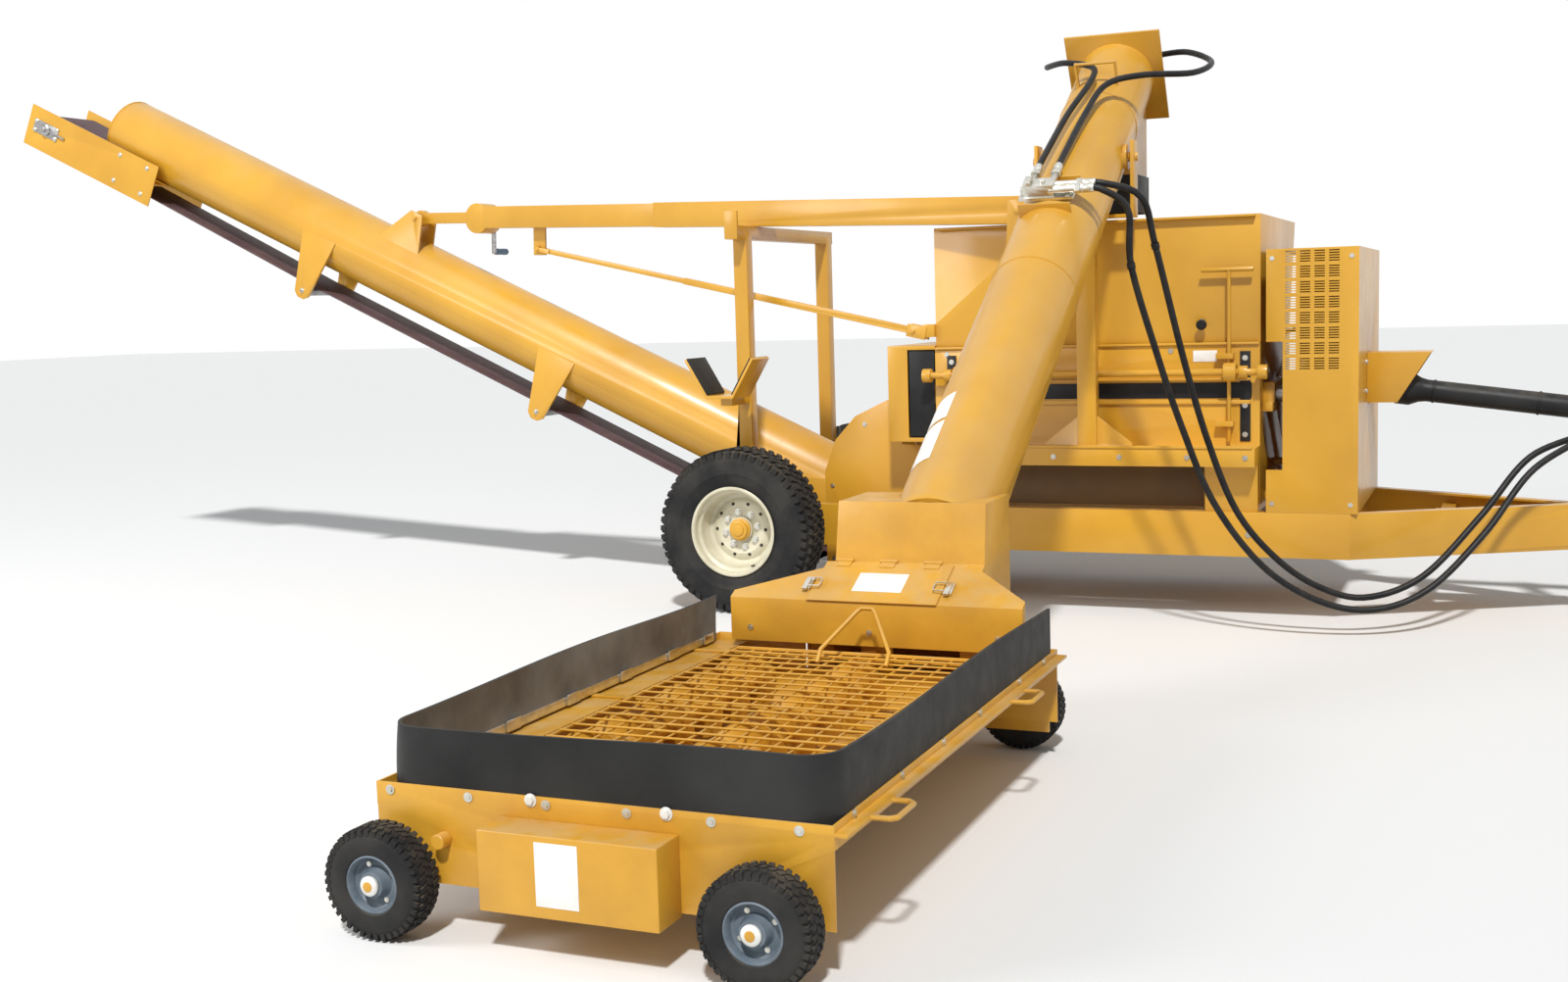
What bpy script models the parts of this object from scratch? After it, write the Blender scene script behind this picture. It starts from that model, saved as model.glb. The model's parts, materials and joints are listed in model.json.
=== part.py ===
"""Towed roller mill: swing intake auger with a low hopper, mill on a two-wheel
frame, and a tube belt conveyor.  Metres.  +X points to the tow hitch, +Z up.
Everything is placed from the point on the ground under the middle of the mill."""
import math

import bmesh
import bpy
from mathutils import Matrix, Vector

GAP = 0.0003            # clearance kept between touching pieces
EMBED = 0.002           # how far welded pieces run into each other

# Frame
RAIL_BOTTOM, RAIL_TOP = 0.29, 0.49
RAIL_OUTER = 0.57       # half width over the rails
FLANGE, WEB = 0.06, 0.010
FRAME_REAR, FRAME_FRONT, FRAME_NOSE = -2.0, 1.13, 2.08
TONGUE_HALF, TONGUE_END = 0.05, 2.90
TONGUE_Z0, TONGUE_Z1 = 0.31, 0.45

# Transport wheels
AXLE_X, TRACK_HALF = -1.64, 0.84
TYRE_R, TYRE_WIDTH, RIM_R = 0.395, 0.25, 0.205
SPINDLE_R, HUB_R = 0.028, 0.06

# Mill
MILL_X0, MILL_X1 = -0.76, 0.74
MILL_Y0, MILL_Y1 = -0.50, 0.57
MILL_TOP = 1.24
PLATE = 0.010
ROLL_R, ROLL_SHAFT_R = 0.1524, 0.035
ROLL_Z, FIXED_ROLL_Y, ROLL_NIP = 1.0, 0.0, 0.003
SHELF_Y0, SHELF_Z0, SHELF_Z1 = -0.67, 0.70, 0.78
TROUGH_Z, TROUGH_R = 0.665, 0.14
FLIGHT_R = 0.125
ADJUST_Y, ADJUST_Z, ADJUST_R = -0.56, 1.11, 0.016
HOPPER_TOP, HOPPER_FAR_Y = 1.80, 0.78

# Drive shield and tow end
SHIELD_X0, SHIELD_X1 = 0.775, 1.16
SHIELD_Z0, SHIELD_Z1 = 0.4903, 1.64
SHEET = 0.006
PTO_X, PTO_Z, PTO_DROP = 1.34, 1.0, math.radians(7.3)
PTO_R = 0.05
STAND_X = 2.12

# Discharge conveyor, measured up its slope (along) and square to it (up)
TAIL_X, TAIL_Z = -1.28, 0.21
SLOPE = math.atan(0.461)
TUBE_R, TUBE_WALL, TUBE_UP = 0.195, 0.006, 0.20
TUBE_START, TUBE_END = 0.28, 5.36
PULLEY_R, HEAD_PULLEY_R = 0.10, 0.08
HEAD_ALONG, HEAD_UP = TUBE_END + 0.44, 0.028
BELT_HALF, BELT_T = 0.14, 0.008
BOX_START, BOX_END = TUBE_END - 0.46, TUBE_END + 0.59
BOX_Z0, BOX_Z1, BOX_HALF = -0.11, 0.14, 0.225
IDLER_ALONG, IDLER_R = (2.00, 3.69), 0.03

# Gantry, boom and stay
GANTRY_X, POST_HALF, GANTRY_Y = -1.73, 0.035, 0.535
BOOM_ROOT = Vector((-0.30, -0.56, 1.86))
BOOM_TIP = Vector((-3.93, -0.06, 2.01))
BOOM_SIZE, BOOM_WALL = 0.125, 0.004
INNER_SIZE = BOOM_SIZE - 2 * BOOM_WALL - 0.0008
BOOM_STEP, INNER_END = 2.03, 3.17
STAY_ROOT_X, STAY_ROOT_Z, STAY_TIP_X, STAY_TIP_Z = -0.86, 1.32, -3.10, 1.80
STAY_SIZE = 0.032

# Intake auger
POST_Y = -0.62
AUGER_SLOPE = math.atan(0.6407)
AUGER_AXIS_Z = 0.76 + (2.66 + POST_Y) * 0.6407
AUGER_R, AUGER_WALL = 0.1775, 0.005
AUGER_HIGH, AUGER_LOW = -0.79, 2.62
POST_TOP = 1.722

# Intake hopper on its four small wheels
PAN_X0, PAN_X1, PAN_Y0, PAN_Y1 = -0.72, 0.46, -4.98, -3.05
PAN_Z0, PAN_Z1, PAN_BEND = 0.12, 0.355, 0.30
PAN_FLOOR_X0, PAN_FLOOR_X1 = -0.66, 0.06
SKIRT_Z0, SKIRT_TOP, SKIRT_T = 0.340, 0.50, 0.009
FEEDER_X, FEEDER_Z, FEEDER_R = (-0.53, -0.145), 0.232, 0.098
SMALL_R, SMALL_W, SMALL_X = 0.1375, 0.095, (-0.67, 0.31)
SMALL_Y = (PAN_Y0 - 0.065, PAN_Y1 + 0.12)
STUB_R = 0.0125
HOSE_R = 0.014

OBJECT = "towed_roller_mill"


def clear_scene():
    for old in list(bpy.data.objects):
        bpy.data.objects.remove(old, do_unlink=True)


def paint(name, color, rough, metallic=0.0):
    made = bpy.data.materials.new(name)
    made.use_nodes = True
    shader = made.node_tree.nodes["Principled BSDF"]
    shader.inputs["Base Color"].default_value = (*color, 1.0)
    shader.inputs["Roughness"].default_value = rough
    shader.inputs["Metallic"].default_value = metallic
    return made


clear_scene()
YELLOW = paint("yellow_paint", (0.83, 0.42, 0.04), 0.4)
CREAM = paint("cream_paint", (0.80, 0.76, 0.62), 0.45)
BLACK = paint("black_paint", (0.015, 0.015, 0.016), 0.4)
GREY = paint("grey_paint", (0.25, 0.29, 0.33), 0.5)
TYRE = paint("tyre_rubber", (0.02, 0.02, 0.02), 0.85)
RUBBER = paint("black_rubber", (0.03, 0.03, 0.032), 0.7)
BELT = paint("belt_rubber", (0.05, 0.04, 0.045), 0.7)
STEEL = paint("steel", (0.45, 0.45, 0.46), 0.35, 1.0)
ZINC = paint("zinc", (0.62, 0.62, 0.60), 0.3, 1.0)

parts = bpy.data.collections.new(OBJECT)
tools = bpy.data.collections.new("cutters")
bpy.context.scene.collection.children.link(parts)
bpy.context.scene.collection.children.link(tools)
root = bpy.data.objects.new(OBJECT + "_frame", None)
parts.objects.link(root)


# ---------------------------------------------------------------- shaping
def axes(origin, forward, up=(0, 0, 1)):
    """Matrix whose X runs forward, Z as near up as it can, Y = Z x X."""
    x = Vector(forward).normalized()
    up = Vector(up)
    z = (up - up.dot(x) * x).normalized()
    y = z.cross(x)
    turn = Matrix((x, y, z)).transposed().to_4x4()
    return Matrix.Translation(Vector(origin)) @ turn


def as_tool(mesh):
    """Wraps a mesh in a helper object, kept out of the finished model."""
    tool = bpy.data.objects.new("tool", mesh)
    tool.display_type = "WIRE"
    tool.hide_render = True
    tools.objects.link(tool)
    return tool


def baked(tool, weld=True):
    """The helper with its modifiers or curve turned into one plain mesh."""
    depsgraph = bpy.context.evaluated_depsgraph_get()
    depsgraph.update()
    mesh = bpy.data.meshes.new_from_object(tool.evaluated_get(depsgraph))
    mesh.transform(tool.matrix_world)
    bpy.data.objects.remove(tool, do_unlink=True)
    if weld:
        shape = bmesh.new()
        shape.from_mesh(mesh)
        bmesh.ops.remove_doubles(shape, verts=shape.verts, dist=1e-5)
        bmesh.ops.recalc_face_normals(shape, faces=shape.faces)
        shape.to_mesh(mesh)
        shape.free()
    return as_tool(mesh)


def placed(tool, matrix):
    tool.data.transform(matrix)
    return tool


def box(x0, x1, y0, y1, z0, z1, matrix=None):
    mesh = bpy.data.meshes.new("box")
    shape = bmesh.new()
    size = Matrix.Diagonal((x1 - x0, y1 - y0, z1 - z0, 1.0))
    middle = Matrix.Translation(((x0 + x1) / 2, (y0 + y1) / 2, (z0 + z1) / 2))
    bmesh.ops.create_cube(shape, size=1.0, matrix=middle @ size)
    shape.to_mesh(mesh)
    shape.free()
    tool = as_tool(mesh)
    return placed(tool, matrix) if matrix else tool


def rod(start, end, radius, sides=24):
    start, end = Vector(start), Vector(end)
    side = (1, 0, 0) if abs((end - start).normalized().z) > 0.9 else (0, 0, 1)
    lie = axes((start + end) / 2, end - start, side) @ Matrix.Rotation(math.pi / 2, 4, "Y")
    mesh = bpy.data.meshes.new("rod")
    shape = bmesh.new()
    bmesh.ops.create_cone(shape, cap_ends=True, segments=sides, radius1=radius,
                          radius2=radius, depth=(end - start).length, matrix=lie)
    shape.to_mesh(mesh)
    shape.free()
    return as_tool(mesh)


def bore(start, end, radius, sides=24):
    """Cutter whose flats just clear a shaft of the given radius."""
    return rod(start, end, (radius + GAP) / math.cos(math.pi / sides), sides)


def turned(profile, origin, direction, sides=32):
    """Closed outline of (radius, height) points, turned about a line."""
    mesh = bpy.data.meshes.new("profile")
    points = [(r, 0.0, h) for r, h in profile]
    count = len(points)
    mesh.from_pydata(points, [(i, (i + 1) % count) for i in range(count)], [])
    tool = as_tool(mesh)
    screw = tool.modifiers.new("turn", "SCREW")
    screw.steps = screw.render_steps = sides
    screw.use_merge_vertices = True
    screw.merge_threshold = 0.00001
    side = (1, 0, 0) if abs(Vector(direction).normalized().z) > 0.9 else (0, 0, 1)
    lie = axes(origin, direction, side) @ Matrix.Rotation(math.pi / 2, 4, "Y")
    return placed(baked(tool), lie)


def pipe(start, end, outer, inner, sides=32):
    length = (Vector(end) - Vector(start)).length
    profile = [(inner, 0), (outer, 0), (outer, length), (inner, length)]
    return turned(profile, start, Vector(end) - Vector(start), sides)


def prism(outlines, start, end, up=(0, 0, 1)):
    """Flat outlines of (across, up) points pushed from start to end; an
    outline inside another is a hole.  Looking from start, across = up x run."""
    start, end = Vector(start), Vector(end)
    curve = bpy.data.curves.new("outline", "CURVE")
    curve.dimensions = "2D"
    curve.fill_mode = "BOTH"
    curve.extrude = (end - start).length / 2
    for outline in outlines:
        line = curve.splines.new("POLY")
        line.points.add(len(outline) - 1)
        for point, (across, height) in zip(line.points, outline):
            point.co = (across, height, 0.0, 1.0)
        line.use_cyclic_u = True
    tool = bpy.data.objects.new("tool", curve)
    tools.objects.link(tool)
    run = axes((start + end) / 2, end - start, up)
    x, y, z = (run.to_3x3().col[i] for i in range(3))
    turn = Matrix((y, z, x)).transposed().to_4x4()
    bpy.context.view_layer.update()
    return placed(baked(tool), Matrix.Translation((start + end) / 2) @ turn)


def wire(points, radius, sides_step=2, closed=False):
    curve = bpy.data.curves.new("wire", "CURVE")
    curve.dimensions = "3D"
    curve.bevel_depth = radius
    curve.bevel_resolution = sides_step
    curve.use_fill_caps = not closed
    line = curve.splines.new("POLY")
    line.points.add(len(points) - 1)
    for spot, point in zip(line.points, points):
        spot.co = (*point, 1.0)
    line.use_cyclic_u = closed
    tool = bpy.data.objects.new("tool", curve)
    tools.objects.link(tool)
    bpy.context.view_layer.update()
    return baked(tool)


def smooth_route(points, step, lead=0.025):
    """Evenly spaced points on a smooth curve through the given ones, which
    leaves and arrives straight for twice the lead."""
    knots = [Vector(p) for p in points]
    out = (knots[1] - knots[0]).normalized() * lead
    home = (knots[-2] - knots[-1]).normalized() * lead
    knots = ([knots[0] - out, knots[0], knots[0] + out, knots[0] + 2 * out] + knots[1:-1]
             + [knots[-1] + 2 * home, knots[-1] + home, knots[-1], knots[-1] - home])
    fine = []
    for i in range(1, len(knots) - 2):
        p0, p1, p2, p3 = knots[i - 1:i + 3]
        for k in range(20):
            t = k / 20
            fine.append(0.5 * (2 * p1 + (p2 - p0) * t
                               + (2 * p0 - 5 * p1 + 4 * p2 - p3) * t ** 2
                               + (3 * p1 - p0 - 3 * p2 + p3) * t ** 3))
    fine = fine[20:-20]         # from the end of one lead to the start of the other
    total = sum((b - a).length for a, b in zip(fine, fine[1:]))
    spacing = total / max(2, round(total / step))
    route, walked = [knots[1], fine[0]], 0.0
    for a, b in zip(fine, fine[1:]):
        walked += (b - a).length
        if walked >= spacing - 1e-6:
            route.append(b)
            walked = 0.0
    if (route[-1] - knots[-3]).length < spacing / 2:
        route.pop()
    return route + [knots[-3], knots[-2]]


def combined(first, others, operation):
    if not others:
        return first
    group = bpy.data.collections.new("group")
    for other in others:
        group.objects.link(other)
    cut = first.modifiers.new("combine", "BOOLEAN")
    cut.operand_type = "COLLECTION"
    cut.collection = group
    cut.operation = operation
    cut.solver = "EXACT"
    result = baked(first)
    for other in others:
        bpy.data.objects.remove(other, do_unlink=True)
    bpy.data.collections.remove(group)
    return result


def weld(solids, cuts=()):
    """Joins overlapping solids into one body, then takes the cuts away."""
    return combined(combined(solids[0], solids[1:], "UNION"), list(cuts), "DIFFERENCE")


def piece(name, tool, material, pivot=(0, 0, 0)):
    """Names a finished solid and puts its origin on its joint's axis."""
    tool.data.transform(Matrix.Translation(-Vector(pivot)))
    tool.data.name = name
    tool.data.materials.clear()
    tool.data.materials.append(material)
    tool.data.shade_smooth()
    tool.data.set_sharp_from_angle(angle=math.radians(35))
    made = bpy.data.objects.new(name, tool.data)
    bpy.data.objects.remove(tool, do_unlink=True)
    made.location = pivot
    made.parent = root
    parts.objects.link(made)
    return made


def flighting(start, end, outer, pipe_r, pitch, thickness=0.006, sides=6):
    """A screw's helical plate, its inner edge sunk into the pipe."""
    start, end = Vector(start), Vector(end)
    length = (end - start).length
    turns = max(1, int((length - 0.02) / pitch))
    mesh = bpy.data.meshes.new("flight")
    mesh.from_pydata([(pipe_r - 0.004, 0, 0), (outer, 0, 0)], [(0, 1)], [])
    tool = as_tool(mesh)
    screw = tool.modifiers.new("coil", "SCREW")
    screw.steps = screw.render_steps = sides
    screw.iterations = turns
    screw.screw_offset = pitch
    screw.use_merge_vertices = False
    screw.merge_threshold = 0.00001
    thick = tool.modifiers.new("plate", "SOLIDIFY")
    thick.thickness = thickness
    thick.offset = 0.0
    side = (1, 0, 0) if abs((end - start).normalized().z) > 0.9 else (0, 0, 1)
    lie = axes(start, end - start, side) @ Matrix.Rotation(math.pi / 2, 4, "Y")
    slack = (length - turns * pitch) / 2
    lie = lie @ Matrix.Translation((0, 0, slack))
    return placed(baked(tool), lie)


# ---------------------------------------------------------------- frame
def channel(start, end, inward):
    """Rail section, open towards the machine's middle."""
    half = (RAIL_TOP - RAIL_BOTTOM) / 2
    outline = [(0, -half), (inward * FLANGE, -half), (inward * FLANGE, -half + WEB),
               (inward * WEB, -half + WEB), (inward * WEB, half - WEB),
               (inward * FLANGE, half - WEB), (inward * FLANGE, half), (0, half)]
    return prism([outline], start, end)


DOCK_Y, DOCK_Z = {"right": -0.13, "left": -0.19}, 1.03


def tongue_stand():
    """Post welded on the tongue: it carries the drive shaft and parks the hoses."""
    front = STAND_X + 0.02
    under = PTO_Z - (front - PTO_X) * math.tan(PTO_DROP) - PTO_R / math.cos(PTO_DROP) - GAP
    solids = [box(STAND_X - 0.05, STAND_X + 0.05, -0.10, 0.045, TONGUE_Z1 - EMBED, TONGUE_Z1 + 0.012),
              box(STAND_X - 0.02, front, -0.10, -0.06, TONGUE_Z1 + 0.01, 1.095),
              box(STAND_X - 0.019, front, -0.062, 0.07, under - 0.03, under),
              box(STAND_X - 0.019, front, 0.058, 0.07, under - 0.01, under + 0.07),
              box(STAND_X - 0.03, STAND_X + 0.03, -0.22, -0.058, 1.09, 1.10)]
    for y in DOCK_Y.values():
        solids.append(rod((STAND_X, y, DOCK_Z), (STAND_X, y, 1.095), 0.017, 12))
    return solids


def main_frame():
    middle = (RAIL_TOP + RAIL_BOTTOM) / 2
    solids = []
    for side in (-1, 1):
        solids.append(channel((FRAME_REAR, side * RAIL_OUTER, middle),
                              (FRAME_FRONT, side * RAIL_OUTER, middle), -side))
        solids.append(channel((FRAME_FRONT - 0.01, side * RAIL_OUTER, middle),
                              (FRAME_NOSE, side * 0.03, middle), -side))
    for x in (-0.83, 0.70, FRAME_FRONT - 0.05):
        solids.append(box(x - 0.03, x + 0.03, -RAIL_OUTER + WEB - EMBED,
                          RAIL_OUTER - WEB + EMBED, RAIL_BOTTOM + 0.03, RAIL_TOP - 0.05))
    # tongue pole, its cross plate in the A and the hitch plate with the pin hole
    solids.append(box(1.45, TONGUE_END, -TONGUE_HALF, TONGUE_HALF, TONGUE_Z0, TONGUE_Z1))
    solids.append(box(1.47, 1.53, -0.33, 0.33, TONGUE_Z0 - 0.005, TONGUE_Z1 - 0.01))
    solids.append(box(TONGUE_END - 0.08, TONGUE_END + 0.14, -0.045, 0.045, 0.345, 0.375))
    # jack sleeve held to the far side of the pole
    solids.append(pipe((2.5, 0.11, 0.36), (2.5, 0.11, 0.80), 0.036, 0.030, 20))
    solids.append(box(2.45, 2.55, 0.04, 0.078, 0.34, 0.44))
    # gussets that carry the hitch end of the A
    solids.append(box(1.98, 2.15, -0.075, 0.075, TONGUE_Z1 - EMBED, RAIL_TOP - 0.02))
    pin_hole = rod((TONGUE_END + 0.08, 0, 0.3), (TONGUE_END + 0.08, 0, 0.42), 0.018, 16)
    piece("main_frame", weld(solids + tongue_stand(), [pin_hole]), YELLOW)


def axle():
    solids = [box(AXLE_X - 0.04, AXLE_X + 0.04, -0.61, 0.61, 0.12, 0.20)]
    for side in (-1, 1):
        inner, outer = RAIL_OUTER + GAP, RAIL_OUTER + 0.03
        low, high = sorted((side * inner, side * outer))
        solids.append(box(AXLE_X - 0.09, AXLE_X + 0.09, low, high, 0.121, RAIL_TOP - 0.01))
        solids.append(rod((AXLE_X, side * 0.585, TYRE_R),
                          (AXLE_X, side * (TRACK_HALF + 0.055), TYRE_R), SPINDLE_R, 20))
    piece("axle_beam", weld(solids), YELLOW)


def transport_wheel(side, name):
    centre = (AXLE_X, side * TRACK_HALF, TYRE_R)
    out = (0, side, 0)
    hole = (SPINDLE_R + GAP) / math.cos(math.pi / 20)
    rim = [(hole, -0.09), (HUB_R, -0.09), (HUB_R, -0.03), (0.165, -0.012), (0.172, -0.105),
           (RIM_R, -0.11), (RIM_R, 0.105), (0.215, 0.12), (0.198, 0.12), (0.178, 0.03),
           (HUB_R, -0.01), (HUB_R, 0.05), (hole, 0.05)]
    piece("rim_" + name, turned(rim, centre, out, 20), CREAM, centre)
    half = TYRE_WIDTH / 2
    seat = RIM_R + GAP
    tyre = [(seat, -0.095), (0.25, -half + 0.012), (0.315, -half), (0.375, -half + 0.025),
            (TYRE_R, -0.05), (TYRE_R, 0.05), (0.375, half - 0.025), (0.315, half),
            (0.25, half - 0.012), (seat, 0.095)]
    piece("tyre_" + name, turned(tyre, centre, out, 20), TYRE, centre)


def jack_leg():
    foot = [box(2.5 - 0.07, 2.5 + 0.07, 0.11 - 0.07, 0.11 + 0.07, 0.0, 0.008),
            rod((2.5, 0.11, 0.006), (2.5, 0.11, 0.86), 0.030 - GAP, 20),
            rod((2.5, 0.11, 0.84), (2.5, 0.11, 0.875), 0.05, 20)]
    piece("jack_leg", weld(foot), STEEL, (2.5, 0.11, 0.0))


# ---------------------------------------------------------------- mill
MOVING_ROLL_Y = FIXED_ROLL_Y - 2 * ROLL_R - ROLL_NIP
GATE_X, GATE_Y = 0.61, -0.522


def mill_body():
    solids = []
    for x in (MILL_X0, MILL_X1 - PLATE):
        solids.append(box(x, x + PLATE, MILL_Y0, MILL_Y1, RAIL_TOP + GAP, MILL_TOP))
    inner = (MILL_X0 + PLATE - EMBED, MILL_X1 - PLATE + EMBED)
    solids.append(box(*inner, MILL_Y0, MILL_Y0 + PLATE, SHELF_Z0, MILL_TOP))
    solids.append(box(*inner, MILL_Y1 - PLATE, MILL_Y1, RAIL_TOP + 0.02, MILL_TOP))
    # grain trough: two slopes meeting a half pipe
    ring = [(math.cos(a) * TROUGH_R, math.sin(a) * TROUGH_R)
            for a in (math.pi + math.pi * k / 8 for k in range(9))]
    near, far = MILL_Y0 + PLATE - EMBED, MILL_Y1 - PLATE + EMBED
    slope_top, slope_low = ROLL_Z - 0.10, ROLL_Z - 0.114
    bottom = [(y * 1.06, TROUGH_Z + z * 1.06) for y, z in ring]
    top = [(y, TROUGH_Z + z) for y, z in reversed(ring)]
    trough = [(near, slope_top), (near, slope_low)] + bottom + [(far, slope_low), (far, slope_top)] + top
    solids.append(prism([trough], (inner[0], 0, 0), (inner[1], 0, 0)))
    # shelf across the near side with its leg
    solids.append(box(MILL_X0, MILL_X1, SHELF_Y0, MILL_Y0 + EMBED, SHELF_Z0, SHELF_Z1))
    solids.append(box(0.51, MILL_X1 - 0.001, -0.56, MILL_Y0 + EMBED, RAIL_TOP + GAP, SHELF_Z0 + EMBED))
    # eyes of the adjusting shaft and guides of the feed gate rod
    for x in (-0.62, 0.0, 0.62):
        solids.append(box(x - 0.02, x + 0.02, ADJUST_Y - 0.03, MILL_Y0 + EMBED,
                          ADJUST_Z - 0.03, ADJUST_Z + 0.03))
    for z in (0.88, 1.18):
        low, top = z - 0.012, z + 0.012
        solids.append(box(GATE_X - 0.055, GATE_X - 0.025, GATE_Y - 0.02, MILL_Y0 + EMBED, low, top))
        solids.append(box(GATE_X - 0.027, GATE_X + 0.02, GATE_Y - 0.02, GATE_Y + 0.02, low, top))
    cuts = []
    reach = (MILL_X0 - 0.05, MILL_X1 + 0.05)
    cuts.append(bore((reach[0], FIXED_ROLL_Y, ROLL_Z), (reach[1], FIXED_ROLL_Y, ROLL_Z), ROLL_SHAFT_R))
    cuts.append(box(*reach, MOVING_ROLL_Y - 0.06, MOVING_ROLL_Y + 0.045, ROLL_Z - 0.045, ROLL_Z + 0.045))
    cuts.append(bore((reach[0], ADJUST_Y, ADJUST_Z), (reach[1], ADJUST_Y, ADJUST_Z), ADJUST_R, 16))
    cuts.append(rod((MILL_X0 - 0.05, 0, TROUGH_Z), (MILL_X0 + 0.05, 0, TROUGH_Z), TROUGH_R - 0.002, 24))
    cuts.append(bore((MILL_X1 - 0.05, 0, TROUGH_Z), (MILL_X1 + 0.05, 0, TROUGH_Z), 0.018, 8))
    cuts.append(bore((GATE_X, GATE_Y, 0.8), (GATE_X, GATE_Y, 1.3), 0.009, 12))
    piece("mill_body", weld(solids, cuts), YELLOW)


def feed_hopper():
    z0, z1 = MILL_TOP + GAP, HOPPER_TOP
    outer = [(MILL_Y0 + 0.02, z0), (MILL_Y1, z0), (MILL_Y1, z0 + 0.06), (HOPPER_FAR_Y, z1),
             (MILL_Y0 + 0.02, z1)]
    shell = prism([outer], (MILL_X0, 0, 0), (MILL_X1, 0, 0))
    room = [(MILL_Y0 + 0.02 + SHEET, z0 - 0.01), (MILL_Y1 - SHEET, z0 - 0.01),
            (MILL_Y1 - SHEET, z0 + 0.06), (HOPPER_FAR_Y - SHEET, z1), (HOPPER_FAR_Y - SHEET, z1 + 0.01),
            (MILL_Y0 + 0.02 + SHEET, z1 + 0.01)]
    cut = prism([room], (MILL_X0 + SHEET, 0, 0), (MILL_X1 - SHEET, 0, 0))
    hopper = combined(shell, [cut], "DIFFERENCE")
    # clevis of the boom on the near wall
    boom = boom_axes()
    ear = BOOM_SIZE / 2 + 0.003
    lugs = [box(-0.05, 0.05, -ear - 0.012, -ear, -0.16, 0.045, boom),
            box(-0.05, 0.05, ear, ear + 0.012, -0.16, 0.045, boom),
            box(-0.05, 0.05, -ear - 0.010, ear + 0.010, -0.165, -0.10, boom),
            rod(boom @ Vector((0, -ear - 0.02, 0)), boom @ Vector((0, ear + 0.02, 0)), 0.014, 16)]
    piece("feed_hopper", weld([hopper] + lugs + stay_lug()), YELLOW)


def feed_gate():
    solids = [rod((GATE_X, GATE_Y, 0.80), (GATE_X, GATE_Y, 1.565), 0.009, 12),
              rod((0.49, GATE_Y, 1.56), (0.715, GATE_Y, 1.56), 0.011, 12)]
    piece("feed_gate", weld(solids), YELLOW, (GATE_X, GATE_Y, 1.0))


def rolls():
    x0, x1 = MILL_X0 + PLATE + 0.012, MILL_X1 - PLATE - 0.012
    def roll(y, front):
        body = [rod((x0, y, ROLL_Z), (x1, y, ROLL_Z), ROLL_R, 24),
                rod((MILL_X0 - 0.09, y, ROLL_Z), (front, y, ROLL_Z), ROLL_SHAFT_R, 20),
                rod((0.90, y, ROLL_Z), (0.935, y, ROLL_Z), ROLL_R - 0.001, 20)]
        return weld(body)
    piece("fixed_roll", roll(FIXED_ROLL_Y, 1.26), STEEL, (0, FIXED_ROLL_Y, ROLL_Z))
    piece("moving_roll", roll(MOVING_ROLL_Y, 0.96), STEEL, (0, MOVING_ROLL_Y, ROLL_Z))


def carriages():
    """Bearing blocks that let the near roll slide away from the fixed one."""
    for name, x0 in (("carriage_rear", MILL_X0 - GAP - 0.05), ("carriage_front", MILL_X1 + GAP)):
        low, top = ROLL_Z - 0.075, ROLL_Z + 0.055
        block = [box(x0, x0 + 0.05, MOVING_ROLL_Y - 0.085, MOVING_ROLL_Y + 0.085, low, top)]
        strap_x = x0 if x0 < 0 else x0 + 0.02
        block.append(box(strap_x, strap_x + 0.03, MOVING_ROLL_Y - 0.16, MOVING_ROLL_Y - 0.08,
                         low + 0.005, low + 0.045))
        cut = bore((x0 - 0.02, MOVING_ROLL_Y, ROLL_Z), (x0 + 0.07, MOVING_ROLL_Y, ROLL_Z), ROLL_SHAFT_R, 20)
        piece(name, weld(block, [cut]), YELLOW, (0, MOVING_ROLL_Y, ROLL_Z))


def adjust_shaft():
    x0, x1 = MILL_X0 - 0.03, MILL_X1 + 0.03
    solids = [rod((x0, ADJUST_Y, ADJUST_Z), (x1, ADJUST_Y, ADJUST_Z), ADJUST_R, 16)]
    for x in (x0 - 0.01, x1 - 0.03):
        solids.append(rod((x, ADJUST_Y, ADJUST_Z), (x + 0.04, ADJUST_Y, ADJUST_Z), 0.032, 20))
    for x in (-0.64 - 0.055, 0.64 + 0.02):
        solids.append(rod((x, ADJUST_Y, ADJUST_Z), (x + 0.035, ADJUST_Y, ADJUST_Z), 0.028, 16))
    piece("adjust_shaft", weld(solids), YELLOW, (0, ADJUST_Y, ADJUST_Z))


def drive_shield():
    outer = box(SHIELD_X0, SHIELD_X1, -RAIL_OUTER, RAIL_OUTER, SHIELD_Z0, SHIELD_Z1)
    room = box(SHIELD_X0 - 0.01, SHIELD_X1 - SHEET, -RAIL_OUTER + SHEET, RAIL_OUTER - SHEET,
               SHIELD_Z0 + SHEET, SHIELD_Z1 - SHEET)
    notch = box(SHIELD_X0 - 0.01, 0.845, -RAIL_OUTER - 0.01, -RAIL_OUTER + 0.02, 0.68, 1.24)
    hole = rod((SHIELD_X1 - 0.05, 0, PTO_Z), (SHIELD_X1 + 0.05, 0, PTO_Z), 0.07, 24)
    shield = combined(outer, [room, notch, hole], "DIFFERENCE")
    # angles across the open back and the feet that bolt to the mill's end plate
    inside = RAIL_OUTER - 0.001
    solids = [shield, box(SHIELD_X0, SHIELD_X0 + 0.02, -inside, inside, 0.53, 0.55),
              box(SHIELD_X0, SHIELD_X0 + 0.02, -inside, inside, 1.26, 1.28)]
    for y in (-0.30, 0.45):
        solids.append(box(MILL_X1 + GAP, SHIELD_X0 + EMBED, y - 0.03, y + 0.03, 0.525, 0.555))
    piece("drive_shield", weld(solids), YELLOW)


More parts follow.
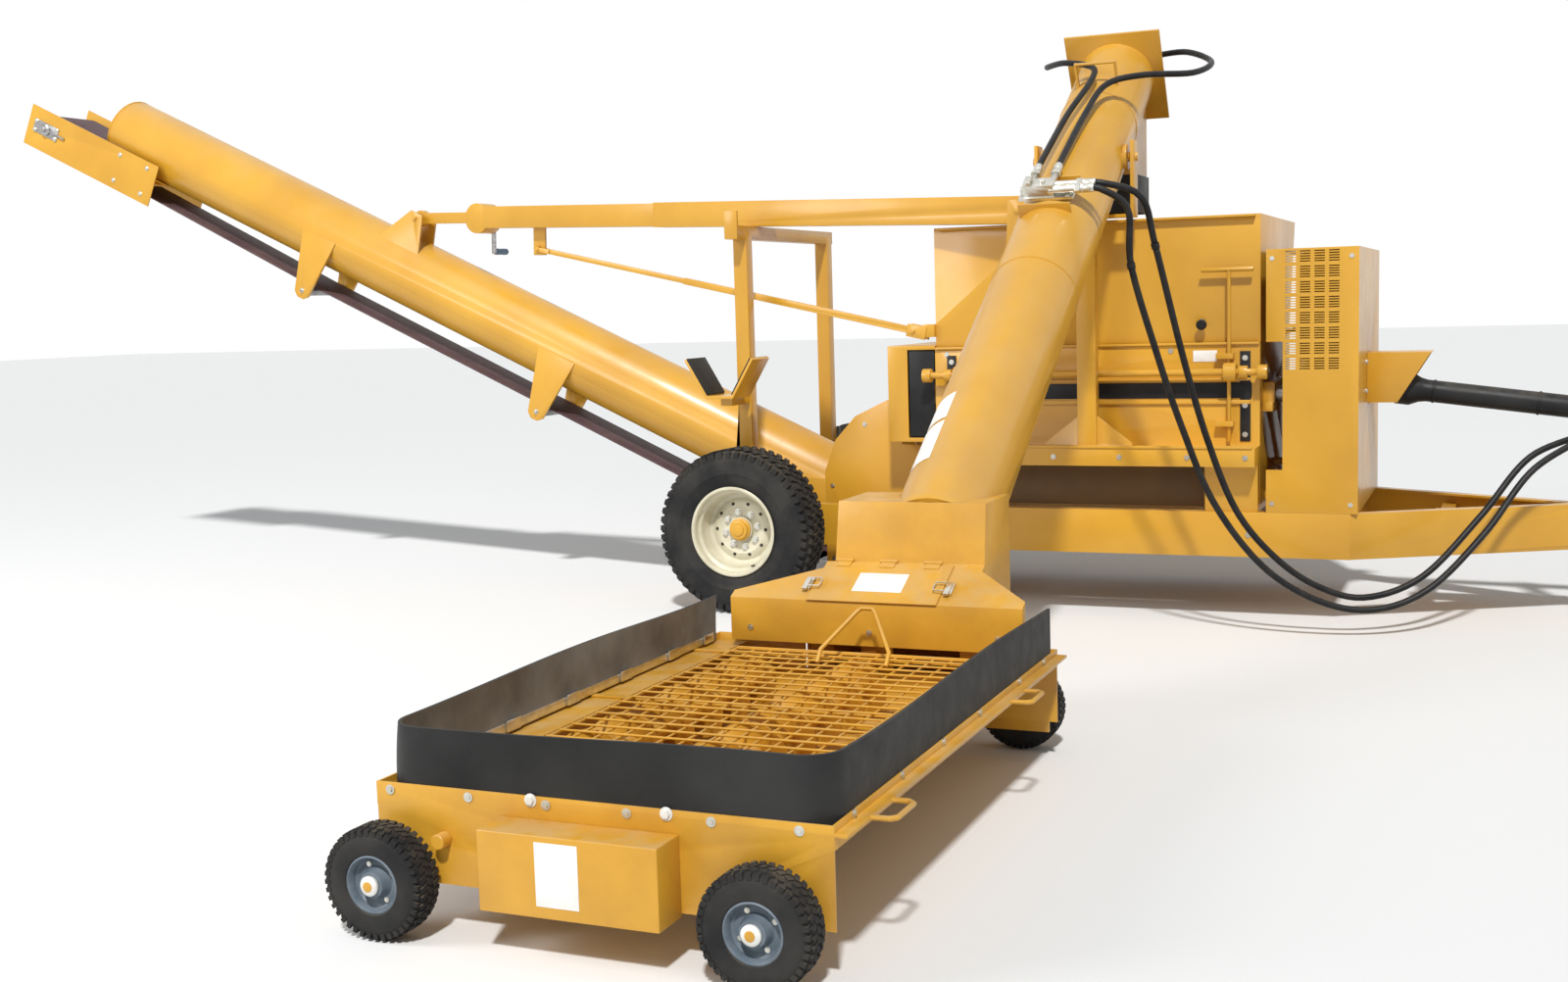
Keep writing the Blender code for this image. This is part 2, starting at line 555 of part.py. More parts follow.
def pto_guard():
    x0 = SHIELD_X1 + GAP
    side = [(x0, 0.945), (1.29, 0.945), (1.43, 1.17), (x0, 1.17)]
    solids = []
    for y in (-0.12, 0.114):
        solids.append(prism([[(-x, z) for x, z in side]], (0, y, 0), (0, y + SHEET, 0)))
    solids.append(box(x0, 1.43, -0.119, 0.119, 1.164, 1.17))
    solids.append(box(x0, x0 + SHEET, -0.119, 0.119, 1.10, 1.169))
    piece("pto_guard", weld(solids), YELLOW)


def drive_shaft():
    """Telescoping tractor shaft in its black guard, resting on the stand."""
    run = Vector((math.cos(PTO_DROP), 0, -math.sin(PTO_DROP)))
    start = Vector((PTO_X - 0.06, 0, PTO_Z + 0.06 * math.sin(PTO_DROP)))
    pivot = (start.x, 0, start.z)
    outer = [(0.041, 0.0), (0.075, 0.0), (0.075, 0.06), (0.056, 0.10), (PTO_R, 0.13),
             (PTO_R, 1.05), (0.041, 1.05)]
    piece("pto_outer_tube", turned(outer, start, run, 28), BLACK, pivot)
    inner = [(0.022, 0.55), (0.0405, 0.55), (0.0405, 1.38), (0.07, 1.42), (0.07, 1.47), (0.022, 1.47)]
    piece("pto_inner_tube", turned(inner, start, run, 28), BLACK, pivot)
    tip = start + run * 1.471
    yoke = [rod(start + run * 0.60, tip + run * 0.02, 0.0215, 20),
            rod(tip + run * 0.002, tip + run * 0.03, 0.045, 20)]
    lie = axes(tip, run)
    yoke += [box(0.02, 0.12, s * 0.038 - 0.008, s * 0.038 + 0.008, -0.025, 0.025, lie) for s in (-1, 1)]
    piece("pto_yoke", weld(yoke), STEEL, pivot)


def rear_cover():
    x0, x1 = -1.0, MILL_X0 - GAP
    outer = box(x0, x1, MILL_Y0 + 0.001, 0.30, 0.79, 1.25)
    room = box(x0 + SHEET, x1 + 0.01, MILL_Y0 + 0.007, 0.294, 0.796, 1.244)
    mouth = box(-0.90, x1 + 0.01, MILL_Y0 - 0.01, MILL_Y0 + 0.02, 0.81, 1.23)
    piece("rear_cover", combined(outer, [room, mouth], "DIFFERENCE"), YELLOW)


def discharge_auger():
    solids = [rod((-1.14, 0, TROUGH_Z), (MILL_X1 + 0.04, 0, TROUGH_Z), 0.018, 8),
              rod((-1.10, 0, TROUGH_Z), (MILL_X1 - 0.03, 0, TROUGH_Z), 0.03, 8),
              flighting((-1.09, 0, TROUGH_Z), (MILL_X1 - 0.04, 0, TROUGH_Z), FLIGHT_R, 0.03, 0.24)]
    piece("discharge_auger", weld(solids), YELLOW, (0, 0, TROUGH_Z))


# ---------------------------------------------------------------- conveyor
def belt_axes():
    """X up the conveyor, Z square to it, Y towards the near side."""
    return axes((TAIL_X, 0, TAIL_Z), (-math.cos(SLOPE), 0, math.sin(SLOPE)))


BOOT_HALF = 0.30


def tail_boot():
    outline = [(-1.42, 0.13), (-0.87, 0.13), (-0.87, 0.76), (-1.005, 0.76), (-1.005, 0.98),
               (-1.08, 0.98), (-1.25, 0.90), (-1.36, 0.78), (-1.42, 0.62)]
    solids = [prism([[(-x, z) for x, z in outline]], (0, y, 0), (0, y + SHEET, 0))
              for y in (-BOOT_HALF, BOOT_HALF - SHEET)]
    solids.append(box(-0.876, -0.87, -BOOT_HALF + 0.001, BOOT_HALF - 0.001, 0.13, 0.47))
    solids.append(box(-1.15, -0.872, -BOOT_HALF + 0.001, BOOT_HALF - 0.001, 0.13, 0.136))
    cover = axes((-1.08, 0, 0.975), (-0.17, 0, -0.08))
    solids.append(box(-0.02, 0.10, -BOOT_HALF + 0.001, BOOT_HALF - 0.001, -0.006, 0.0, cover))
    solids.append(rod((-1.25, -BOOT_HALF + 0.001, 0.46), (-1.25, BOOT_HALF - 0.001, 0.46), 0.012, 12))
    for side in (-1, 1):        # brackets out to the rails
        low, high = sorted((side * (BOOT_HALF - EMBED), side * (RAIL_OUTER - WEB - GAP)))
        solids.append(box(-1.30, -1.24, low, high, 0.36, 0.40))
    cuts = [bore((TAIL_X, -0.35, TAIL_Z), (TAIL_X, 0.35, TAIL_Z), 0.02, 14)]
    piece("tail_boot", weld(solids, cuts), YELLOW)


def lift_point():
    return belt_axes().inverted() @ BOOM_TIP


def conveyor_tube():
    lie = belt_axes()
    solids = [rod(lie @ Vector((TUBE_START, 0, TUBE_UP)), lie @ Vector((TUBE_END, 0, TUBE_UP)), TUBE_R, 32)]
    for side in (-1, 1):
        a, b = sorted((side * 0.186, side * 0.200))
        # arms down to the tail shaft
        arm = [(-0.05, -0.05), (0.05, -0.05), (0.36, 0.12), (0.46, 0.20), (0.30, 0.26), (-0.05, 0.06)]
        solids.append(prism([[(-x, z) for x, z in arm]], (0, a, 0), (0, b, 0)))
        placed(solids[-1], lie)
        # plates that hang the return rollers
        for along in IDLER_ALONG:
            plate = [(along - 0.12, 0.20), (along - 0.05, -0.16), (along - 0.02, -0.185),
                     (along + 0.02, -0.185), (along + 0.05, -0.16), (along + 0.12, 0.20)]
            solids.append(prism([[(-x, z) for x, z in plate]], (0, a, 0), (0, b, 0)))
            placed(solids[-1], lie)
        # head box: side plates and the gussets that carry them
        a, b = sorted((side * (BOX_HALF - SHEET), side * BOX_HALF))
        solids.append(box(BOX_START, BOX_END, a, b, BOX_Z0, BOX_Z1, lie))
        a, b = sorted((side * 0.09, side * (BOX_HALF - 0.001)))
        solids.append(box(BOX_START + 0.001, TUBE_END - 0.001, a, b, 0.02, 0.03, lie))
    solids.append(box(BOX_END - 0.06, BOX_END - 0.001, -BOX_HALF + 0.001, BOX_HALF - 0.001,
                      BOX_Z0 + 0.001, BOX_Z0 + 0.012, lie))
    # bracket that the boom pulls on
    spot = lift_point()
    for side in (-1, 1):
        a, b = sorted((spot.y + side * 0.062, spot.y + side * 0.074))
        ear = [(spot.x - 0.10, 0.30), (spot.x - 0.04, spot.z + 0.03), (spot.x + 0.04, spot.z + 0.03),
               (spot.x + 0.22, 0.30)]
        solids.append(prism([[(-x, z) for x, z in ear]], (0, a, 0), (0, b, 0)))
        placed(solids[-1], lie)
    solids.append(rod(lie @ Vector((spot.x, spot.y - 0.085, spot.z)),
                      lie @ Vector((spot.x, spot.y + 0.085, spot.z)), 0.011, 12))
    cuts = [bore((TAIL_X, -0.3, TAIL_Z), (TAIL_X, 0.3, TAIL_Z), 0.02, 14)]
    shafts = [(HEAD_ALONG, HEAD_UP, 0.015)] + [(along, IDLER_UP, 0.008) for along in IDLER_ALONG]
    for along, up, radius in shafts:
        cuts.append(bore(lie @ Vector((along, -0.3, up)), lie @ Vector((along, 0.3, up)), radius, 14))
    keep_bore = pipe_bore(lie)
    piece("conveyor_tube", weld(solids, cuts + [keep_bore]), YELLOW, (TAIL_X, 0, TAIL_Z))


def pipe_bore(lie):
    """Hollows the tube, and clears what the lugs and gussets leave inside it."""
    return rod(lie @ Vector((TUBE_START - 0.02, 0, TUBE_UP)), lie @ Vector((TUBE_END + 0.01, 0, TUBE_UP)),
               TUBE_R - TUBE_WALL, 32)


IDLER_UP = -(PULLEY_R + BELT_T + GAP) / math.cos(math.pi / 20) - GAP - IDLER_R


def conveyor_belt():
    """Endless belt as a closed loop round both pulleys."""
    def loop(grow):
        facet = math.cos(math.pi / 20)      # keeps the flats clear of the pulleys
        tail, head = (PULLEY_R + grow) / facet, (HEAD_PULLEY_R + grow) / facet
        points = [(math.cos(a) * tail, math.sin(a) * tail)
                  for a in (math.pi / 2 + math.pi * k / 10 for k in range(11))]
        for along in (IDLER_ALONG[0], IDLER_ALONG[1]):
            points.append((along, -tail))
        points += [(HEAD_ALONG + math.cos(a) * head, HEAD_UP + math.sin(a) * head)
                   for a in (-math.pi / 2 + math.pi * k / 10 for k in range(11))]
        points.append((TUBE_END + 0.03, tail))
        return points
    outer, inner = loop(GAP + BELT_T), loop(GAP)
    belt = prism([[(-x, z) for x, z in outer], [(-x, z) for x, z in inner]],
                 (0, -BELT_HALF, 0), (0, BELT_HALF, 0))
    piece("conveyor_belt", placed(belt, belt_axes()), BELT, (TAIL_X, 0, TAIL_Z))


def conveyor_rollers():
    lie = belt_axes()
    def roller(name, along, up, radius, shaft, reach, body=0.15):
        solids = [rod(lie @ Vector((along, -body, up)), lie @ Vector((along, body, up)), radius, 24),
                  rod(lie @ Vector((along, -reach, up)), lie @ Vector((along, reach, up)), shaft, 14)]
        piece(name, weld(solids), STEEL, lie @ Vector((along, 0, up)))
    roller("tail_pulley", 0.0, 0.0, PULLEY_R, 0.02, BOOT_HALF + 0.03)
    roller("head_pulley", HEAD_ALONG, HEAD_UP, HEAD_PULLEY_R, 0.015, BOX_HALF + 0.03)
    roller("return_roller_lower", IDLER_ALONG[0], IDLER_UP, IDLER_R, 0.008, 0.215, 0.17)
    roller("return_roller_upper", IDLER_ALONG[1], IDLER_UP, IDLER_R, 0.008, 0.215, 0.17)


# ---------------------------------------------------------------- boom and gantry
def boom_axes():
    return axes(BOOM_ROOT, BOOM_TIP - BOOM_ROOT)


def boom_height(x):
    share = (BOOM_ROOT.x - x) / (BOOM_ROOT.x - BOOM_TIP.x)
    return BOOM_ROOT.z + share * (BOOM_TIP.z - BOOM_ROOT.z)


def boom_side(x):
    share = (BOOM_ROOT.x - x) / (BOOM_ROOT.x - BOOM_TIP.x)
    return BOOM_ROOT.y + share * (BOOM_TIP.y - BOOM_ROOT.y)


def gantry():
    beam_top = boom_height(GANTRY_X + POST_HALF) - BOOM_SIZE / 2 - 0.003
    solids = []
    for side in (-1, 1):
        y = side * GANTRY_Y
        solids.append(box(GANTRY_X - POST_HALF, GANTRY_X + POST_HALF, y - POST_HALF, y + POST_HALF,
                          RAIL_TOP + GAP, beam_top - 0.03))
        solids.append(box(GANTRY_X - 0.08, GANTRY_X + 0.08, y - POST_HALF, y + POST_HALF - 0.001,
                          RAIL_TOP + GAP, RAIL_TOP + 0.012))
    solids.append(box(GANTRY_X - 0.034, GANTRY_X + 0.034, -0.66, GANTRY_Y + 0.05, beam_top - 0.065, beam_top))
    solids.append(box(GANTRY_X - 0.034, GANTRY_X + 0.034, -0.67, -0.655, beam_top - 0.065, beam_top + 0.07))
    # saddle for the folded intake auger, on an arm from the near post
    solids.append(box(GANTRY_X - 0.03, GANTRY_X + 0.03, -0.78, -GANTRY_Y - 0.03, 0.985, 1.025))
    trough = [(-0.17, 0.19), (-0.18, 0.18), (-0.07, -0.005), (0.07, -0.005),
              (0.18, 0.18), (0.17, 0.19), (0.064, 0.008), (-0.064, 0.008)]
    solids.append(prism([trough], (GANTRY_X, -0.86, 1.028), (GANTRY_X, -0.66, 1.028)))
    piece("gantry", weld(solids), YELLOW)


def boom():
    lie = boom_axes()
    half = BOOM_SIZE / 2
    outer = box(-0.06, BOOM_STEP, -half, half, -half, half)
    room_half = half - BOOM_WALL
    room = box(0.12, BOOM_STEP + 0.01, -room_half, room_half, -room_half, room_half)
    pin = bore((0, -0.1, 0), (0, 0.1, 0), 0.014, 16)
    piece("boom_outer", placed(combined(outer, [room, pin], "DIFFERENCE"), lie), YELLOW, BOOM_ROOT)

    half = INNER_SIZE / 2
    length = (BOOM_TIP - BOOM_ROOT).length
    tube = combined(box(1.25, INNER_END, -half, half, -half, half),
                    [box(1.24, INNER_END - 0.03, -half + 0.006, half - 0.006, -half + 0.006, half - 0.006)],
                    "DIFFERENCE")
    solids = [tube,
              rod((INNER_END + 0.06, -0.075, -0.005), (INNER_END + 0.06, 0.045, -0.005), 0.082, 28),
              box(INNER_END - 0.02, length - 0.03, -0.018, 0.018, -0.03, 0.03),
              rod((length, -0.018, 0), (length, 0.018, 0), 0.045, 20),
              box(length - 0.10, length - 0.02, -0.017, 0.017, -0.029, 0.029)]
    # ear that the stay pulls on
    tip = lie.inverted() @ Vector((STAY_TIP_X, boom_side(STAY_TIP_X), STAY_TIP_Z))
    solids.append(box(tip.x - 0.04, tip.x + 0.04, -0.006, 0.006, tip.z - 0.03, -half + EMBED))
    cuts = [rod((length, -0.05, 0), (length, 0.05, 0), 0.020, 16),
            rod((tip.x, -0.05, tip.z), (tip.x, 0.05, tip.z), 0.016, 14),
            bore((INNER_END + 0.06, -0.09, -0.005), (INNER_END + 0.06, -0.04, -0.005), 0.012, 14)]
    piece("boom_inner", placed(weld(solids, cuts), lie), YELLOW, BOOM_ROOT)

    hub = Vector((INNER_END + 0.06, -0.075 - GAP, -0.005))
    arm = [rod(hub + Vector((0, 0.034, 0)), hub + Vector((0, -0.03, 0)), 0.012, 14),
           box(hub.x - 0.012, hub.x + 0.012, hub.y - 0.03, hub.y - 0.018, hub.z - 0.19, hub.z + 0.02),
           rod(hub + Vector((0, -0.02, -0.18)), hub + Vector((0, -0.13, -0.18)), 0.014, 14)]
    piece("boom_crank", placed(weld(arm), lie), STEEL, lie @ hub)


def stay_axes():
    start = Vector((STAY_ROOT_X, boom_side(STAY_ROOT_X), STAY_ROOT_Z))
    end = Vector((STAY_TIP_X, boom_side(STAY_TIP_X), STAY_TIP_Z))
    return axes(start, end - start), (end - start).length


def stay():
    lie, length = stay_axes()
    half = STAY_SIZE / 2
    wall = 0.003
    outer = box(-0.03, 1.35, -half, half, -half, half)
    room = box(0.10, 1.36, -half + wall, half - wall, -half + wall, half - wall)
    pin = bore((0, -0.1, 0), (0, 0.1, 0), 0.008, 12)
    pivot = lie.translation.copy()
    piece("stay_outer", placed(combined(outer, [room, pin], "DIFFERENCE"), lie), YELLOW, pivot)
    inner = half - wall - 0.0005
    # the far end forks round the boom's ear and carries the loose pin
    solids = [box(0.70, length - 0.06, -inner, inner, -inner, inner),
              box(length - 0.075, length - 0.055, -0.022, 0.022, -inner, inner),
              box(length - 0.06, length + 0.02, 0.012, 0.022, -inner, inner),
              box(length - 0.06, length + 0.02, -0.022, -0.012, -inner, inner),
              rod((length, -0.03, 0), (length, 0.03, 0), 0.008, 12)]
    piece("stay_inner", placed(weld(solids), lie), YELLOW, pivot)


def stay_lug():
    """Lug on the hopper's rear wall that the stay hangs on."""
    lie, _ = stay_axes()
    side = boom_side(STAY_ROOT_X)
    return [box(-0.065, 0.035, 0.018, 0.026, -0.03, 0.03, lie),
            box(-0.065, 0.035, -0.026, -0.018, -0.03, 0.03, lie),
            rod(lie @ Vector((0, -0.035, 0)), lie @ Vector((0, 0.035, 0)), 0.008, 12),
            box(STAY_ROOT_X + 0.045, MILL_X0 + EMBED, side - 0.03, side + 0.05,
                STAY_ROOT_Z - 0.03, STAY_ROOT_Z + 0.03)]


# ---------------------------------------------------------------- intake auger
def auger_axes():
    """X down the auger from the tilt pin, Y = +X of the machine, Z upwards."""
    down = (0, -math.cos(AUGER_SLOPE), -math.sin(AUGER_SLOPE))
    return axes((0, POST_Y, AUGER_AXIS_Z), down)


def swivel_post():
    base = [(-0.20, SHELF_Z1 + GAP), (0.20, SHELF_Z1 + GAP), (0.20, SHELF_Z1 + 0.02), (0.045, 0.92),
            (-0.045, 0.92), (-0.20, SHELF_Z1 + 0.02)]
    solids = [box(-0.0425, 0.0425, POST_Y - 0.03, POST_Y + 0.03, SHELF_Z1 + 0.01, POST_TOP),
              prism([[(-x, z) for x, z in base]], (0, POST_Y - 0.005, 0), (0, POST_Y + 0.005, 0)),
              box(-0.20, 0.20, POST_Y - 0.045, POST_Y + 0.06, SHELF_Z1 + GAP, SHELF_Z1 + 0.011),
              rod((0, POST_Y, POST_TOP - 0.01), (0, POST_Y, POST_TOP + 0.012), 0.07, 24),
              rod((0, POST_Y, POST_TOP), (0, POST_Y, POST_TOP + 0.075), 0.022, 20)]
    piece("swivel_post", weld(solids), YELLOW, (0, POST_Y, POST_TOP))


def swivel_head():
    z0 = POST_TOP + 0.012 + GAP
    arm_in, arm_out = AUGER_R + 0.030, AUGER_R + 0.045
    solids = [box(-arm_out, arm_out, POST_Y - 0.045, POST_Y + 0.045, z0 + 0.068, z0 + 0.083),
              rod((0, POST_Y, z0), (0, POST_Y, z0 + 0.07), 0.05, 24)]
    for side in (-1, 1):
        a, b = sorted((side * arm_in, side * arm_out))
        solids.append(box(a, b, POST_Y - 0.045, POST_Y + 0.045, z0 + 0.07, AUGER_AXIS_Z + 0.07))
        pin_in, pin_out = side * (AUGER_R + 0.0148), side * (arm_out + 0.012)
        solids.append(rod((pin_in, POST_Y, AUGER_AXIS_Z), (pin_out, POST_Y, AUGER_AXIS_Z), 0.02, 16))
    socket = bore((0, POST_Y, z0 - 0.05), (0, POST_Y, POST_TOP + 0.076), 0.022, 20)
    piece("swivel_head", weld(solids, [socket]), YELLOW, (0, POST_Y, AUGER_AXIS_Z))


BLOCK_ALONG = 0.62          # valve block, measured down the auger from the tilt pin
BLOCK_PORTS = (-0.085, 0.0)                                     # sideways places of the motor hoses
BLOCK_OUTLETS = ((BLOCK_ALONG - 0.018, 0.036), (BLOCK_ALONG + 0.022, 0.036))


def valve_block():
    """Block on a plate across the top of the auger, with its four hose ends."""
    lie, top = auger_axes(), AUGER_R + GAP
    solids = [box(BLOCK_ALONG - 0.045, BLOCK_ALONG + 0.045, -0.13, 0.10, top, top + 0.012, lie),
              box(BLOCK_ALONG - 0.035, BLOCK_ALONG + 0.035, -0.11, 0.02, top + 0.011, top + 0.062, lie)]
    for y in BLOCK_PORTS:
        solids.append(rod(lie @ Vector((BLOCK_ALONG - 0.03, y, top + 0.036)),
                          lie @ Vector((BLOCK_ALONG - 0.125, y, top + 0.036)), 0.016, 12))
    for along, z in BLOCK_OUTLETS:
        inner, outer = lie @ Vector((along, 0.0, top + z)), lie @ Vector((along, 0.13, top + z))
        solids.append(rod(inner, outer, 0.016, 12))
    piece("valve_block", weld(solids), ZINC, (0, POST_Y, AUGER_AXIS_Z))


SPOUT = (-0.13, 0.13, -0.17, 0.10)
FOOT_RING = 0.012           # how far the ring at the tube's foot stands out


def auger_tube():
    lie = auger_axes()
    bore_r = AUGER_R - AUGER_WALL
    tube = pipe(lie @ Vector((AUGER_HIGH, 0, 0)), lie @ Vector((AUGER_LOW, 0, 0)), AUGER_R, bore_r, 32)
    solids = [tube,
              box(AUGER_HIGH - 0.012, AUGER_HIGH + EMBED, -0.225, 0.225, -0.225, 0.225, lie),
              box(*SPOUT, 1.955, 2.34)]
    for side in (-1, 1):
        low, high = sorted((side * (AUGER_R - 0.004), side * (AUGER_R + 0.014)))
        solids.append(rod((low, POST_Y, AUGER_AXIS_Z), (high, POST_Y, AUGER_AXIS_Z), 0.055, 20))
    # hose hanger near the top and ring flange at the foot
    for y in (-0.095, 0.085):
        solids.append(box(-0.42, -0.40, y, y + 0.01, 0.14, 0.268, lie))
    solids.append(box(-0.419, -0.401, -0.094, 0.094, 0.260, 0.267, lie))
    solids.append(pipe(lie @ Vector((AUGER_LOW - 0.03, 0, 0)), lie @ Vector((AUGER_LOW - 0.001, 0, 0)),
                       AUGER_R + FOOT_RING, AUGER_R - EMBED, 32))
    x0, x1, y0, y1 = SPOUT
    wall = 0.005
    cuts = [box(x0 + wall, x1 - wall, y0 + wall, y1 - wall, 1.90, 2.36),
            rod(lie @ Vector((AUGER_HIGH + 0.001, 0, 0)), lie @ Vector((AUGER_LOW + 0.02, 0, 0)), bore_r, 32),
            rod(lie @ Vector((AUGER_HIGH - 0.02, 0, 0)), lie @ Vector((AUGER_HIGH + 0.02, 0, 0)), 0.03, 16)]
    for side in (-1, 1):
        low, high = sorted((side * (AUGER_R + 0.002), side * (AUGER_R + 0.03)))
        cuts.append(bore((low, POST_Y, AUGER_AXIS_Z), (high, POST_Y, AUGER_AXIS_Z), 0.02, 16))
    piece("auger_tube", weld(solids, cuts), YELLOW, (0, POST_Y, AUGER_AXIS_Z))


def spout_sleeve():
    x0, x1, y0, y1 = SPOUT
    grow = 0.004
    outer = box(x0 - grow - 0.004, x1 + grow + 0.004, y0 - grow - 0.004, y1 + grow + 0.004, 1.845, 2.02)
    inner = box(x0 - GAP, x1 + GAP, y0 - GAP, y1 + GAP, 1.80, 2.05)
    piece("spout_sleeve", combined(outer, [inner], "DIFFERENCE"), RUBBER, (0, POST_Y, AUGER_AXIS_Z))


def main_auger():
    lie = auger_axes()
    ends = [lie @ Vector((along, 0, 0)) for along in (AUGER_HIGH - 0.03, AUGER_LOW + 0.06)]
    plate = [lie @ Vector((along, 0, 0)) for along in (AUGER_HIGH + 0.04, AUGER_LOW + 0.02)]
    solids = [rod(*ends, 0.029, 8), flighting(*plate, AUGER_R - AUGER_WALL - 0.008, 0.029, 0.37)]
    piece("main_auger", weld(solids), YELLOW, (0, POST_Y, AUGER_AXIS_Z))


def hydraulic_motor():
    lie = auger_axes()
    face = AUGER_HIGH - 0.012 - GAP
    solids = [box(face - 0.02, face, -0.07, 0.07, -0.07, 0.07, lie),
              rod(lie @ Vector((face - 0.15, 0, 0)), lie @ Vector((face - 0.01, 0, 0)), 0.055, 24),
              box(face - 0.13, face - 0.05, -0.06, 0.06, 0.0, 0.075, lie)]
    hole = rod(lie @ Vector((face - 0.04, 0, 0)), lie @ Vector((face + 0.01, 0, 0)), 0.03, 16)
    for side in (-1, 1):
        inner = lie @ Vector((face - 0.09, side * 0.04, 0.05))
        outer = lie @ Vector((face - 0.09, side * 0.106, 0.05))
        solids.append(rod(inner, outer, 0.016, 12))
    piece("hydraulic_motor", weld(solids, [hole]), ZINC, (0, POST_Y, AUGER_AXIS_Z))


# ---------------------------------------------------------------- intake hopper
HANDLE_Y = (-4.76, -3.62)


def intake_pan():
    """Sheet hopper: a low rim, sides that slope in to a flat floor, end plates."""
    wall = SHEET
    def section(inset, top):
        return [(PAN_X0 + inset, top), (PAN_X0 + inset, PAN_BEND), (PAN_FLOOR_X0 + inset, PAN_Z0 + inset),
                (PAN_FLOOR_X1 - inset, PAN_Z0 + inset), (PAN_X1 - inset, PAN_BEND), (PAN_X1 - inset, top)]
    outer = prism([[(-x, z) for x, z in section(0.0, PAN_Z1)]], (0, PAN_Y0, 0), (0, PAN_Y1, 0))
    room = prism([[(-x, z) for x, z in section(wall, PAN_Z1 + 0.02)]],
                 (0, PAN_Y0 + wall, 0), (0, PAN_Y1 - wall, 0))
    solids = [combined(outer, [room], "DIFFERENCE")]
    for y in (PAN_Y0, PAN_Y1 - wall):       # end plates fill the corners under the slopes
        solids.append(box(PAN_X0 + 0.001, PAN_X1 - 0.001, y + 0.0005, y + wall - 0.0005,
                          PAN_Z0 + 0.0005, PAN_BEND + 0.02))
    for y in (GRATE_Y0 + 0.02, (GRATE_Y0 + GRATE_Y1) / 2, GRATE_Y1 - 0.02):     # bars the grate lies on
        solids.append(box(PAN_X0 + 0.001, PAN_X1 - 0.001, y - 0.012, y + 0.012,
                          GRATE_Z - 0.0095, GRATE_Z - 0.004 - GAP))
    # rim flange under the skirt and the loop handles on the right edge
    flange = PAN_Z1 - 0.021
    solids.append(box(PAN_X1 - 0.001, PAN_X1 + 0.03, PAN_Y0, PAN_Y1, flange - 0.004, flange + 0.004))
    for y in HANDLE_Y:
        loop = [(PAN_X1 + 0.028, y - 0.07, flange), (PAN_X1 + 0.07, y - 0.07, flange),
                (PAN_X1 + 0.085, y - 0.055, flange), (PAN_X1 + 0.085, y + 0.055, flange),
                (PAN_X1 + 0.07, y + 0.07, flange), (PAN_X1 + 0.028, y + 0.07, flange)]
        solids.append(wire(loop, 0.007))
    # legs that carry the rear wheels and stub axles of all four
    for x in SMALL_X:
        left, right = max(x - 0.10, PAN_X0 + 0.002), min(x + 0.12, PAN_X1 - 0.002)
        solids.append(box(left, right, PAN_Y1 - EMBED, PAN_Y1 + 0.010, PAN_Z0 - 0.035, 0.31))
        end = SMALL_W / 2 + 0.01
        solids.append(rod((x, PAN_Y1 + 0.005, SMALL_R), (x, SMALL_Y[1] + end, SMALL_R), STUB_R, 10))
        solids.append(rod((x, PAN_Y0 + 0.003, SMALL_R), (x, SMALL_Y[0] - end, SMALL_R), STUB_R, 10))
        solids.append(box(x - 0.045, x + 0.045, PAN_Y0 - 0.010, PAN_Y0 + EMBED,
                          PAN_Z0 - 0.02, PAN_Z0 + 0.10))
    cuts = []
    for x in FEEDER_X:
        cuts.append(bore((x, PAN_Y0 - 0.02, FEEDER_Z), (x, PAN_Y0 + 0.02, FEEDER_Z), 0.018, 14))
        cuts.append(bore((x, PAN_Y1 - 0.02, FEEDER_Z), (x, PAN_Y1 + 0.012, FEEDER_Z), 0.018, 14))
    # mouths through which the screws push the grain into the transition
    for x0, x1 in ((-0.40, -0.20), (-0.09, HOOD_NARROW[1] - 0.01)):
        cuts.append(box(x0, x1, PAN_Y1 - 0.02, PAN_Y1 + 0.02, 0.25, PAN_Z1 + 0.01))
    piece("intake_pan", weld(solids, cuts), YELLOW, (0, POST_Y, AUGER_AXIS_Z))


def gear_cover():
    y1 = PAN_Y0 - 0.0105
    x0, x1, z0, z1 = -0.37, 0.09, PAN_Z0 - 0.008, 0.302
    cover = combined(box(x0, x1, y1 - 0.10, PAN_Y0 - GAP, z0, z1),
                     [box(x0 + SHEET, x1 - SHEET, y1 - 0.10 + SHEET, PAN_Y0 + 0.01,
                          z0 + SHEET, z1 - SHEET)], "DIFFERENCE")
    piece("gear_cover", cover, YELLOW, (0, POST_Y, AUGER_AXIS_Z))


def skirt():
    """Rubber belting bent round three sides of the pan's rim."""
    inset, bend = SHEET + GAP, 0.10
    x0, x1, y0, y1 = PAN_X0 + inset, PAN_X1 - inset, PAN_Y0 + inset, PAN_Y1 - 0.06
    def path(grow):
        corners = [((x0 + bend, y0 + bend), math.pi), ((x1 - bend, y0 + bend), 1.5 * math.pi)]
        points = [(x0 - grow, y1)]
        for (cx, cy), start in corners:
            points += [(cx + math.cos(a) * (bend + grow), cy + math.sin(a) * (bend + grow))
                       for a in (start + math.pi / 2 * k / 5 for k in range(6))]
        return points + [(x1 + grow, y1)]
    outline = path(0.0) + list(reversed(path(-SKIRT_T)))
    wall = prism([[(-y, x) for x, y in outline]], (0, 0, SKIRT_Z0), (0, 0, SKIRT_TOP), up=(1, 0, 0))
    piece("skirt", wall, RUBBER, (0, POST_Y, AUGER_AXIS_Z))


GRATE_Y0, GRATE_Y1, GRATE_Z = -4.66, -3.25, 0.343
GRATE_X0, GRATE_X1 = -0.56, 0.24


